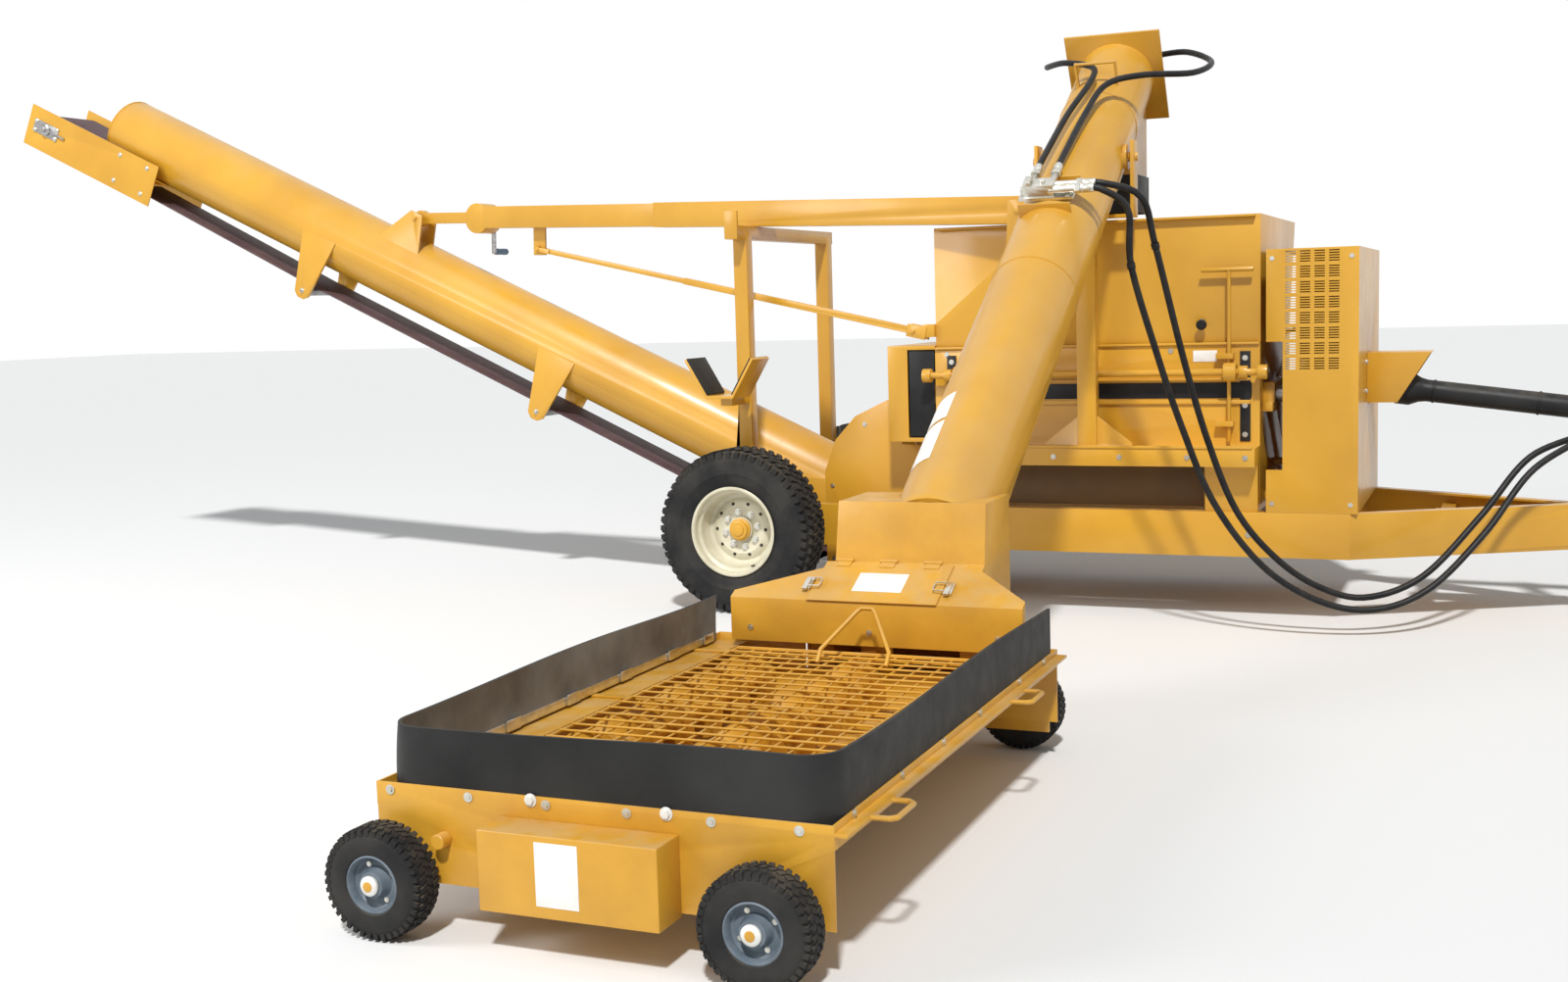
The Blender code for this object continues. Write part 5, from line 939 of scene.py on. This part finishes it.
# %% The grate and its lifting handle
GRATE_X, GRATE_Y, GRATE_Z = (-0.56, 0.24), (-4.66, -3.25), 0.343
wide, long = GRATE_X[1] - GRATE_X[0], GRATE_Y[1] - GRATE_Y[0]
middle_x, middle_y = sum(GRATE_X) / 2, sum(GRATE_Y) / 2
parts = [wire_row("lengthways", Matrix.Translation(at(GRATE_X[0], middle_y, GRATE_Z)), PAN_YELLOW, Count=14,
                  Spacing=wide / 13, Length=long, Radius=0.0034),
         wire_row("crossways", Matrix.Translation(at(middle_x, GRATE_Y[0], GRATE_Z + 0.0062))
                  @ Matrix.Rotation(math.pi / 2, 4, "Z"), PAN_YELLOW, Count=22, Spacing=long / 21,
                  Length=wide,
                  Radius=0.0034)]
corners = [at(x, y, GRATE_Z + 0.002) for x, y in ((GRATE_X[0], GRATE_Y[0]), (GRATE_X[1], GRATE_Y[0]),
                                                  (GRATE_X[1], GRATE_Y[1]), (GRATE_X[0], GRATE_Y[1]))]
parts.append(bent_wire("border", corners, 0.0052, 4, cyclic=True))
left, right, top = -0.217, 0.011, (-0.123, -0.083)
parts.append(bent_wire("handle", [at(left, -3.402, GRATE_Z + 0.004), at(left, -3.37, GRATE_Z + 0.04),
                                  at(top[0] - 0.012, -3.262, GRATE_Z + 0.142),
                                  at(top[0], -3.252, GRATE_Z + 0.153),
                                  at(top[1], -3.252, GRATE_Z + 0.153),
                                  at(top[1] + 0.012, -3.262, GRATE_Z + 0.142),
                                  at(right, -3.37, GRATE_Z + 0.04),
                                  at(right, -3.402, GRATE_Z + 0.004)], 0.007, 4))
settle(gathered("grate_mesh", parts), PAN_YELLOW, "grate_body", "yellow_paint", "grate")

# %% [markdown]
# ## Rubber skirt
# A strip of old belting stands round three sides of the pan.  It bends round
# the corners in wide curves, leans and waves a little towards its free top
# edge, and its inside is rubbed grey by grain.

# %% The skirt
INSIDE_RUBBER = finish("rubbed_rubber", ((0.20, 0.205, 0.20), (0.10, 0.10, 0.10)), (0.42, 0.70), scale=5.5,
                       grain=0.5, grain_scale=40, contrast=(0.38, 0.66))
SKIRT_LOW, SKIRT_HIGH, SKIRT_WALL = 0.3402, 0.4998, 0.009


def skirt_path():
    inset, bend = 0.0063, 0.10
    x0, x1, y0, y1 = PAN_X0 + inset, PAN_X1 - inset, PAN_Y0 + inset, PAN_Y1 - 0.06
    path = [((x0, y1 + (y0 + bend - y1) * k / 40), (1, 0)) for k in range(40)]
    for (cx, cy), start in (((x0 + bend, y0 + bend), math.pi), ((x1 - bend, y0 + bend), 1.5 * math.pi)):
        for k in range(11):
            a = start + math.pi / 2 * k / 10
            path.append(((cx + math.cos(a) * bend, cy + math.sin(a) * bend), (-math.cos(a), -math.sin(a))))
        if start == math.pi:
            path += [((x0 + bend + (x1 - x0 - 2 * bend) * k / 20, y0), (0, 1)) for k in range(1, 20)]
    return path + [((x1, y0 + bend + (y1 - y0 - bend) * k / 40), (-1, 0)) for k in range(1, 41)]


def make_skirt():
    shape, columns, heights = bmesh.new(), [], 7
    walked, last = 0.0, None
    for (x, y), (nx, ny) in skirt_path():
        walked += math.hypot(x - last[0], y - last[1]) if last else 0.0
        last = (x, y)
        wave = 0.5 + 0.5 * math.sin(walked * 5.1 + 0.6 * math.sin(walked * 2.3))
        dip = 0.5 + 0.5 * math.sin(walked * 3.7 + 1.0)
        ring = []
        for wall in (0.0, SKIRT_WALL):
            steps = range(heights) if wall == 0.0 else reversed(range(heights))
            for k in steps:
                t = k / (heights - 1)
                lean = wall + 0.0115 * wave * t * t
                ring.append(shape.verts.new(at(x + nx * lean, y + ny * lean, SKIRT_LOW
                                               + (SKIRT_HIGH - SKIRT_LOW - 0.009 * dip) * t)))
        columns.append(ring)
    count = 2 * heights
    for one, two in zip(columns, columns[1:]):
        for i in range(count):
            face = shape.faces.new((one[i], one[(i + 1) % count], two[(i + 1) % count], two[i]))
            face.material_index = 1 if heights <= i < count - 1 else 0
    shape.faces.new(columns[0])
    shape.faces.new(list(reversed(columns[-1])))
    made = from_shape("skirt_belting", shape)
    made.data.materials.append(SKIRT_RUBBER)
    made.data.materials.append(INSIDE_RUBBER)
    return made


settle(make_skirt(), None, "auger", "black_rubber", "skirt", smooth=50)
strips = [block("strip", (PAN_X0 + 0.0157, -4.84, 0.3405), (PAN_X0 + 0.0177, -3.14, 0.366), edge=0.0005)]
for y in (-4.72, -4.40, -4.08, -3.76, -3.44, -3.18):
    strips.append(block("clip", (PAN_X0 + 0.0178, y - 0.035, 0.3405),
                        (PAN_X0 + 0.024, y + 0.035, 0.372), edge=0.001))
settle(gathered("skirt_strips", strips), ZINC, "auger", "zinc")
places = [(at(x, PAN_Y0 - 0.0003, 0.338), (0, -1, 0)) for x in (-0.68, -0.46, -0.25, -0.04, 0.17, 0.38)]
places += [(at(PAN_X1 + 0.0003, y, 0.348), (1, 0, 0)) for y in (-4.86, -4.54, -4.22, -3.90, -3.50, -3.22)]
bolts("rim_bolts", places, "auger", head=0.0065, tall=0.005, washer=0.012)
big = [(at(x, PAN_Y0 - 0.0003, 0.346), (0, -1, 0)) for x in (-0.29, 0.06)]
bolts("plug_bolts", big, "auger", material=CAP_WHITE, head=0.010, tall=0.008, washer=0.016)
print("grate and skirt done")

# %% [markdown]
# ## Drive shield with louvres
# The belt guard at the front is bent sheet.  Its near side carries louvre slots
# in four columns and eight rows of five, cut right through so that the dark
# inside shows.

# %% The shield and its slots
LOUVRE_X, LOUVRE_Z = (0.878, 0.938, 0.998, 1.058), 1.122
shape = bmesh.new()
for x in LOUVRE_X:
    for row in range(8):
        for k in range(5):
            lift = LOUVRE_Z + row * 0.066 + k * 0.0108
            bmesh.ops.create_cube(shape, size=1.0, matrix=Matrix.Translation(at(x, -0.567, lift))
                                  @ Matrix.Diagonal((0.043, 0.03, 0.0052, 1)))
slots = from_shape("louvre_slots", shape)
bpy.context.scene.collection.objects.link(slots)
shield = rounded_copy("drive_shield", 0.0015)
cut = shield.modifiers.new("louvres", "BOOLEAN")
cut.operation = "DIFFERENCE"
cut.solver = "EXACT"
cut.object = slots
shield = baked(shield)
bpy.data.objects.remove(slots, do_unlink=True)
settle(shield, YELLOW, "root", "yellow_paint", "drive_shield", smooth=28)
places = [(at(x, -0.5703, z), (0, -1, 0)) for x in (0.80, 1.13) for z in (0.53, 1.60)]
bolts("shield_bolts", places, "root", head=0.007, tall=0.005)
print("shield faces", len(shield.data.polygons))

# %% [markdown]
# ## Mill housing
# A black strip runs along the near panel under the adjusting shaft.  A drip
# edge covers the seam between the panel and the hopper.  Bearing housings,
# nuts, knobs and a small blank plate are bolted on.

# %% Trim of the mill
trim = [block("strip", (-0.70, -0.5036, 0.992), (0.705, -0.4995, 1.062), edge=0.001),
        block("bracket", (0.655, -0.506, 0.80), (0.70, -0.4995, 1.20), edge=0.002),
        block("bracket", (-0.70, -0.506, 0.80), (-0.655, -0.4995, 1.20), edge=0.002),
        # Painted shade: a black sheet on the rear cover stands in for the shade in its opening.
        block("recess", (-0.895, -0.4915, 0.815), (-0.768, -0.4885, 1.225), edge=0.0005)]
settle(gathered("mill_black_strip", trim), BLACK, "root", "yellow_paint")
# Painted shade: a dark yellow sheet on the near side stands in for the shade below the shelf.
settle(block("mill_low_painted_shade_panel", (-0.745, -0.5032, 0.505), (0.495, -0.5003, 0.695), edge=0.0008),
       PAINTED_SHADE_YELLOW, "root",
       "yellow_paint")
# Painted shade: a black sheet stands in for the shade in the gap between the mill and the boot.
settle(block("boot_gap_painted_shade", (-0.866, -0.302, 0.500), (-0.764, -0.292, 0.785), edge=0.001), SKIRT_RUBBER, "root",
       "black_rubber")
trim = [block("drip_edge", (-0.757, -0.513, 1.230), (0.738, -0.4985, 1.2402)),
        block("rib", (-0.69, -0.512, 0.966), (0.70, -0.4985, 0.984)),
        block("rib", (-0.69, -0.512, 1.070), (0.70, -0.4985, 1.082)),
        block("rail", (-0.745, -0.676, 0.7795), (0.73, -0.664, 0.792)),
        block("lip", (-0.74, -0.509, 1.7885), (0.72, -0.4795, 1.7995))]
for x in (-0.62, 0.62):
    trim.append(solid_rod("housing", at(x - 0.028, -0.56, 1.11), at(x + 0.028, -0.56, 1.11), 0.041,
                          40, 0.004))
settle(gathered("mill_trim", trim), YELLOW, "root", "yellow_paint")
places = [(at(x, -0.5003, 1.205), (0, -1, 0)) for x in (-0.70, -0.35, 0.0, 0.35)]
places += [(at(x, -0.5063, z), (0, -1, 0)) for x in (-0.677, 0.677) for z in (0.83, 0.96, 1.17)]
places += [(at(x, -0.6703, 0.74), (0, -1, 0)) for x in (-0.70, -0.45, -0.15, 0.15, 0.45, 0.70)]
places.append((at(0.49, -0.5003, 1.335), (0, -1, 0)))
bolts("mill_bolts", places, "root", head=0.0085, tall=0.007)
knobs = [lathe("knob", [(0.0, 0.0), (0.012, 0.0), (0.012, 0.012), (0.022, 0.016), (0.024, 0.026),
                        (0.019, 0.033),
                        (0.0, 0.034)], at(x, -0.4985, z), (0, -1, 0), 28)
         for x, z in ((0.49, 1.32), (-0.45, 1.30))]
settle(gathered("mill_knobs", knobs), BLACK, "root", "black_plastic")
settle(block("mill_blank_plate", (0.45, -0.5018, 1.155), (0.555, -0.4999, 1.205), edge=0.0004),
       PLATE_WHITE, "root",
       "zinc")
places = [(at(-0.7603 - 0.0003, y, z), (-1, 0, 0)) for y in (-0.45, 0.50) for z in (0.56, 1.19)]
places += [(at(x, 0.5703, z), (0, 1, 0)) for x in (-0.70, -0.35, 0.0, 0.35, 0.70) for z in (0.56, 1.20)]
bolts("mill_far_bolts", places, "root", head=0.0085, tall=0.007)

# %% Bearings of the rolls, nuts on the adjusting shaft, rear cover, boot
flanges = []
for side, x in ((1, 0.7403), (-1, -0.7603)):
    flanges.append(lathe("flange", [(0.036, 0.0), (0.085, 0.0), (0.085, 0.012), (0.062, 0.020),
                                    (0.058, 0.034),
                                    (0.036, 0.034)], at(x, 0, 1.0), (side, 0, 0), 48))
settle(gathered("roll_bearings", flanges), STEEL, "root", "steel")
places = []
for side, x in ((1, 0.7523), (-1, -0.7723)):
    places += [(at(x, 0.072 * math.cos(a), 1.0 + 0.072 * math.sin(a)), (side, 0, 0))
               for a in (math.pi / 4 + math.pi / 2 * k for k in range(4))]
bolts("bearing_bolts", places, "root", head=0.008, tall=0.008)
places = [(at(-1.0003, y, z), (-1, 0, 0)) for y in (-0.46, 0.26) for z in (0.83, 1.21)]
places += [(at(x, -0.3003, z), (0, -1, 0)) for x, z in ((-0.91, 0.20), (-0.91, 0.44), (-0.91, 0.70),
                                                        (-1.38, 0.18),
                                                       (-1.38, 0.55), (-1.20, 0.86))]
places += [(at(x, 0.3003, z), (0, 1, 0)) for x, z in ((-0.91, 0.20), (-0.91, 0.44), (-0.91, 0.70),
                                                      (-1.38, 0.18),
                                                     (-1.38, 0.55), (-1.20, 0.86))]
bolts("boot_bolts", places, "root", head=0.008, tall=0.006)
print("mill done")

# %% [markdown]
# ## Intake hopper and hood
# The rear legs are drilled for a pin that sets the wheels' height.  The lid has
# two spring latches of bright wire.  Warning plates are kept as blank plates.

# %% Pan, gear cover and hood details
plates = [block("cover_plate", (-0.218, -5.0914, 0.140), (-0.108, -5.0904, 0.288), edge=0.0003)]
lid = axes(at(0, -2.97, 0.5952), (0, -0.205, -0.100))
plates.append(block("lid_plate", (0.062, -0.205, 0.0048), (0.165, -0.035, 0.0060), lie=lid, edge=0.0003))
settle(gathered("hopper_blank_plate", plates[:1]), PLATE_WHITE, "auger", "zinc")
settle(gathered("lid_blank_plate", plates[1:]), PLATE_WHITE, "lid", "zinc")
latches = []
for x in (-0.366, 0.121):
    latches.append(block("base", (0.100, x - 0.014, 0.0002), (0.165, x + 0.014, 0.010), lie=lid, edge=0.002))
    latches.append(block("lever", (0.118, x - 0.009, 0.010), (0.178, x + 0.009, 0.019), lie=lid, edge=0.003))
    inward = 1 if x < 0 else -1
    loop = [lid @ Vector((a, x + inward * b, 0.017)) for a,
            b in ((0.115, 0.010), (0.115, 0.045), (0.140, 0.050),
                                                                 (0.160, 0.045), (0.160, 0.010))]
    latches.append(bent_wire("loop", loop, 0.0028, 3))
settle(gathered("lid_latches", latches), ZINC, "auger", "zinc")
holes = []
for x in (-0.63, 0.37):
    for z in (0.155, 0.19, 0.225, 0.26):
        holes.append(solid_rod("hole", at(x, -3.0396, z), at(x, -3.0390, z), 0.008, 20, 0.0001))
# Painted shade: dark discs on the legs stand in for the shade inside the pin holes.
settle(gathered("leg_hole_painted_shade", holes), PAINTED_SHADE_DARK, "auger", "yellow_paint")
places = [(at(x, -3.0393, z), (0, 1, 0)) for x in (-0.70, 0.27) for z in (0.13, 0.28)]
places += [(at(x, -4.9903, z), (0, -1, 0)) for x in (-0.69, 0.29) for z in (0.115, 0.205)]
places += [(at(x, -3.1653, z), (0, -1, 0)) for x in (-0.55, -0.13, 0.30) for z in (0.40,)]
bolts("hopper_bolts", places, "auger", head=0.007, tall=0.005)
bars = [block("angle", (PAN_X0 + 0.006, -4.95, 0.3285), (-0.605, -3.08, 0.3325), edge=0.0008)]
settle(gathered("pan_ledge", bars), PAN_YELLOW, "auger", "yellow_paint")
feet = []
for x in FEEDER_X:
    feet.append(lathe("bearing", [(0.019, 0.0), (0.042, 0.0), (0.042, 0.006), (0.030, 0.0085),
                                  (0.019, 0.0085)],
                      at(x, PAN_Y1 + 0.0005, FEEDER_Z), (0, 1, 0), 36))
settle(gathered("screw_bearings", feet), STEEL, "auger", "steel")

# %% [markdown]
# ## Auger tube and hydraulics
# Blank plates curve round the tube.  The motor's and the block's fittings are
# plated: a hexagon, a crimped sleeve, then the hose.

# %% Curved blank plates


def tube_plate(name, along, angles, radius, thick=0.0008):
    shape, rows = bmesh.new(), []
    for k in range(13):
        a = math.radians(angles[0] + (angles[1] - angles[0]) * k / 12)
        spoke = Vector((0, math.sin(a), math.cos(a)))
        rows.append([shape.verts.new(AUGER @ (Vector((x, 0, 0)) + spoke * r))
                     for x, r in ((along[0], radius), (along[0], radius + thick), (along[1], radius + thick),
                                  (along[1], radius))])
    for one, two in zip(rows, rows[1:]):
        for i in range(4):
            shape.faces.new((one[i], one[(i + 1) % 4], two[(i + 1) % 4], two[i]))
    shape.faces.new(rows[0])
    shape.faces.new(list(reversed(rows[-1])))
    return from_shape(name, shape)


plates = [tube_plate("plate", (start, start + long), (-58, -22), AUGER_R + 0.0001)
          for start, long in ((1.985, 0.15), (2.155, 0.215))]
settle(gathered("tube_blank_plates", plates), PLATE_WHITE, "auger", "zinc", smooth=40)
bands = [lathe("weld", [(AUGER_R - 0.001, -0.004), (AUGER_R + 0.0022, -0.003), (AUGER_R + 0.0022, 0.003),
                        (AUGER_R - 0.001, 0.004)], on_auger(along, 0, 0), AUGER.col[0].to_3d(), 72)
         for along in (-0.30, 1.10)]
ears = []
for along in (0.50, 0.72):
    ears.append(block("ear", (along - 0.004, -0.12, 0.13), (along + 0.004, 0.10, 0.196), lie=AUGER))
settle(gathered("tube_bands", bands + ears), YELLOW, "auger", "yellow_paint", smooth=40)

# %% Fittings
top = AUGER_R + GAP
port = AUGER_TOP - 0.012 - GAP - 0.09


def fitting(point, direction, radius=0.0185):
    """Hexagon and crimped sleeve on a hose's end; direction points along the hose."""
    point, run = Vector(point), Vector(direction).normalized()
    sleeve = lathe("sleeve", [(0.0142, 0.0), (radius, 0.001), (radius, 0.012), (radius - 0.0012, 0.014),
                              (radius, 0.016), (radius, 0.052), (radius - 0.002, 0.056), (0.0142, 0.057)],
                   point, run, 28)
    nut = lathe("nut", [(0.013, -0.022), (0.021, -0.022), (0.0215, -0.020), (0.0215, -0.002), (0.021, 0.0),
                        (0.013, 0.0)], point, run, 6)
    return [sleeve, nut]


fittings = []
for name in ("motor_hose_left", "motor_hose_right"):
    route = ROUTES[name]
    fittings += fitting(route[0], route[1] - route[0]) + fitting(route[-1], route[-2] - route[-1])
for name in ("tractor_hose_left_upper", "tractor_hose_right_upper"):
    fittings += fitting(ROUTES[name][0], ROUTES[name][1] - ROUTES[name][0])
levers = [block("spool", (BLOCK_ALONG - 0.03, -0.105, top + 0.0625),
                (BLOCK_ALONG + 0.03, -0.075, top + 0.078),
                lie=AUGER, edge=0.004),
          solid_rod("plug", on_auger(BLOCK_ALONG, -0.03, top + 0.062),
                    on_auger(BLOCK_ALONG, -0.03, top + 0.075), 0.014),
          solid_rod("plug", on_auger(BLOCK_ALONG, -0.108, top + 0.03),
                    on_auger(BLOCK_ALONG, -0.125, top + 0.03), 0.013),
          lathe("motor_flange", [(0.0, -0.004), (0.072, -0.004), (0.074, 0.0), (0.074, 0.016), (0.055, 0.020),
                                 (0.0, 0.020)], on_auger(AUGER_TOP - 0.0125, 0, 0),
                                 -AUGER.col[0].to_3d(), 48),
          block("motor_ports", (port - 0.035, -0.062, 0.02), (port + 0.035, 0.062, 0.078),
                lie=AUGER, edge=0.006)]
settle(gathered("hose_fittings", fittings + levers), ZINC, "auger", "zinc")
dock = []
for name in ("tractor_hose_left", "tractor_hose_right"):
    dock += fitting(ROUTES[name][-1] + Vector((0, 0, -0.001)), (0, 0, -1))
settle(gathered("dock_fittings", dock), ZINC, "root", "zinc")
places = [(on_auger(AUGER_TOP - 0.0123, a * 0.058, b * 0.058), -AUGER.col[0].to_3d()) for a in (-1,
    1) for b in (-1, 1)]
places += [(on_auger(AUGER_TOP - 0.0123, a * 0.205, b * 0.205), -AUGER.col[0].to_3d())
           for a in (-1, 1) for b in (-1, 1)]
places += [(on_auger(BLOCK_ALONG + a * 0.036, 0.075, top + 0.012), AUGER.col[2].to_3d()) for a in (-1, 1)]
bolts("auger_bolts", places, "auger", head=0.008, tall=0.008)
clamps = []
for name in ("tractor_hose_left_upper", "tractor_hose_right_upper"):
    end = ROUTES[name][-1]
    clamps.append(lathe("clamp", [(0.0141, -0.012), (0.0175, -0.012), (0.0175, 0.012), (0.0141, 0.012)],
                        end, ROUTES[name][-2] - end, 24))
settle(gathered("hose_clamps", clamps), HOSE_RUBBER, "swivel", "black_rubber")
print("auger done")

# %% [markdown]
# ## Conveyor, boom and gantry
# Take-up bearings at the belt's head, bolts on the roller brackets, a winch
# head with a crank and a blue grip, and rubber on the saddle.

# %% Conveyor head, roller brackets and boom
SLOPE = math.atan(0.461)
BELT = axes(at(-1.28, 0, 0.21), (-math.cos(SLOPE), 0, math.sin(SLOPE)))


def on_belt(along, side, up):
    return BELT @ Vector((along, side, up))


takeup, places = [], []
for side in (-1, 1):
    outward = BELT.col[1].to_3d() * side
    spot = on_belt(5.80, side * 0.2253, 0.028)
    takeup.append(block("slide", (5.70, min(side * 0.2253, side * 0.2290), -0.012),
                        (5.90, max(side * 0.2253, side * 0.2290), 0.068), lie=BELT, edge=0.001))
    takeup.append(lathe("bearing", [(0.015, 0.0), (0.036, 0.0), (0.036, 0.010), (0.028, 0.018),
                                    (0.015, 0.018)],
                        spot + outward * 0.0036, outward, 40))
    takeup.append(solid_rod("screw", on_belt(5.64, side * 0.234, 0.028),
                            on_belt(5.77, side * 0.234, 0.028), 0.006))
    takeup.append(solid_rod("shaft", spot, spot + outward * 0.026, 0.0148))
    places += [(on_belt(along, side * 0.2290, up), outward) for along in (5.715,
        5.885) for up in (0.0, 0.056)]
    places += [(on_belt(along, side * 0.2253, up), outward) for along in (4.98, 5.20) for up in (0.10, -0.06)]
    for along in (2.00, 3.69):
        places += [(on_belt(along, side * 0.2003, -0.1385), outward)]
settle(gathered("take_up_bearings", takeup), STEEL, "conveyor", "steel")
bolts("conveyor_bolts", places, "conveyor", head=0.0095, tall=0.008)
lip = [lathe("tube_lip", [(0.188, -0.006), (0.1965, -0.006), (0.1965, 0.001), (0.188, 0.001)],
             on_belt(5.36, 0, 0.20), BELT.col[0].to_3d(), 72)]
settle(gathered("tube_lip_ring", lip), YELLOW, "conveyor", "yellow_paint")

BOOM = axes(at(-0.30, -0.56, 1.86), (-3.63, 0.50, 0.15))
HUB = Vector((3.23, -0.0753, -0.005))
disc = [lathe("gear_cover", [(0.0, -0.001), (0.070, -0.001), (0.078, 0.002), (0.080, 0.004), (0.0, 0.004)],
              BOOM @ (HUB + Vector((0, 0.0035, 0))), -BOOM.col[1].to_3d(), 48)]
settle(gathered("winch_disc", disc), YELLOW, "boom_arm", "yellow_paint")
places = [(BOOM @ (HUB + Vector((0.062 * math.cos(a), -0.0006, 0.062 * math.sin(a)))), -BOOM.col[1].to_3d())
          for a in (math.tau * k / 6 for k in range(6))]
bolts("winch_bolts", places, "boom_arm", head=0.0055, tall=0.004)
grip = [lathe("grip", [(0.0142, 0.0), (0.017, 0.002), (0.018, 0.02), (0.0165, 0.045),
                       (0.018, 0.075), (0.017, 0.097),
                       (0.0142, 0.099)], BOOM @ (HUB + Vector((0, -0.0308, -0.18))),
                       -BOOM.col[1].to_3d(), 32)]
settle(gathered("crank_grip", grip), GRIP_BLUE, "crank", "black_plastic")
lining = []
for slope in (-1, 1):
    rise = axes(at(-1.73 + slope * 0.066, -0.86, 1.0385), (slope * 0.112, 0, 0.19), (0, 1, 0))
    low, high = sorted((slope * 0.001, slope * -0.007))
    lining.append(block("lining", (0.004, low, 0.0), (0.205, high, 0.20), lie=rise, edge=0.001))
settle(gathered("saddle_lining", lining), SKIRT_RUBBER, "root", "black_rubber")
places = [(at(-1.73 + s * 0.06, side * 0.535, 0.5020), (0, 0, 1)) for s in (-1, 1) for side in (-1, 1)]
places += [(at(-1.64 + s * 0.07, side * 0.6003, z), (0, side, 0)) for s in (-1, 1) for side in (-1, 1)
           for z in (0.35, 0.44)]
bolts("gantry_bolts", places, "root", head=0.0095, tall=0.008)

# %% Frame, tongue, jack and drive shaft
places = [(at(2.10 + dx, -0.05 + dy, 0.4620), (0, 0, 1)) for dx in (-0.022, 0.055) for dy in (-0.03, 0.06)]
places += [(at(x, side * 0.5703, 0.39), (0, side, 0)) for x in (-0.83, 0.70) for side in (-1, 1)]
places += [(at(1.1603, y, z), (1, 0, 0)) for y in (-0.16, 0.16) for z in (1.0, 1.13)]
bolts("frame_bolts", places, "root", head=0.0095, tall=0.008)
crank = [solid_rod("jack_arm", at(2.5, 0.11, 0.868), at(2.5, 0.11, 0.8745), 0.03)]
settle(gathered("jack_cap", crank), STEEL, "jack", "steel")
DROP = math.radians(7.3)
SHAFT = axes(at(1.28, 0, 1.0 + 0.06 * math.sin(DROP)), (math.cos(DROP), 0, -math.sin(DROP)))
ribs = [lathe("rib", [(0.050, along - 0.006), (0.0535, along - 0.004), (0.0535, along + 0.004),
                      (0.050, along + 0.006)],
              SHAFT @ Vector((0, 0, 0)), SHAFT.col[0].to_3d(), 48) for along in (0.16, 0.60, 1.02)]
settle(gathered("guard_ribs", ribs), BLACK, "pto_rear", "black_plastic")
print("frame done")
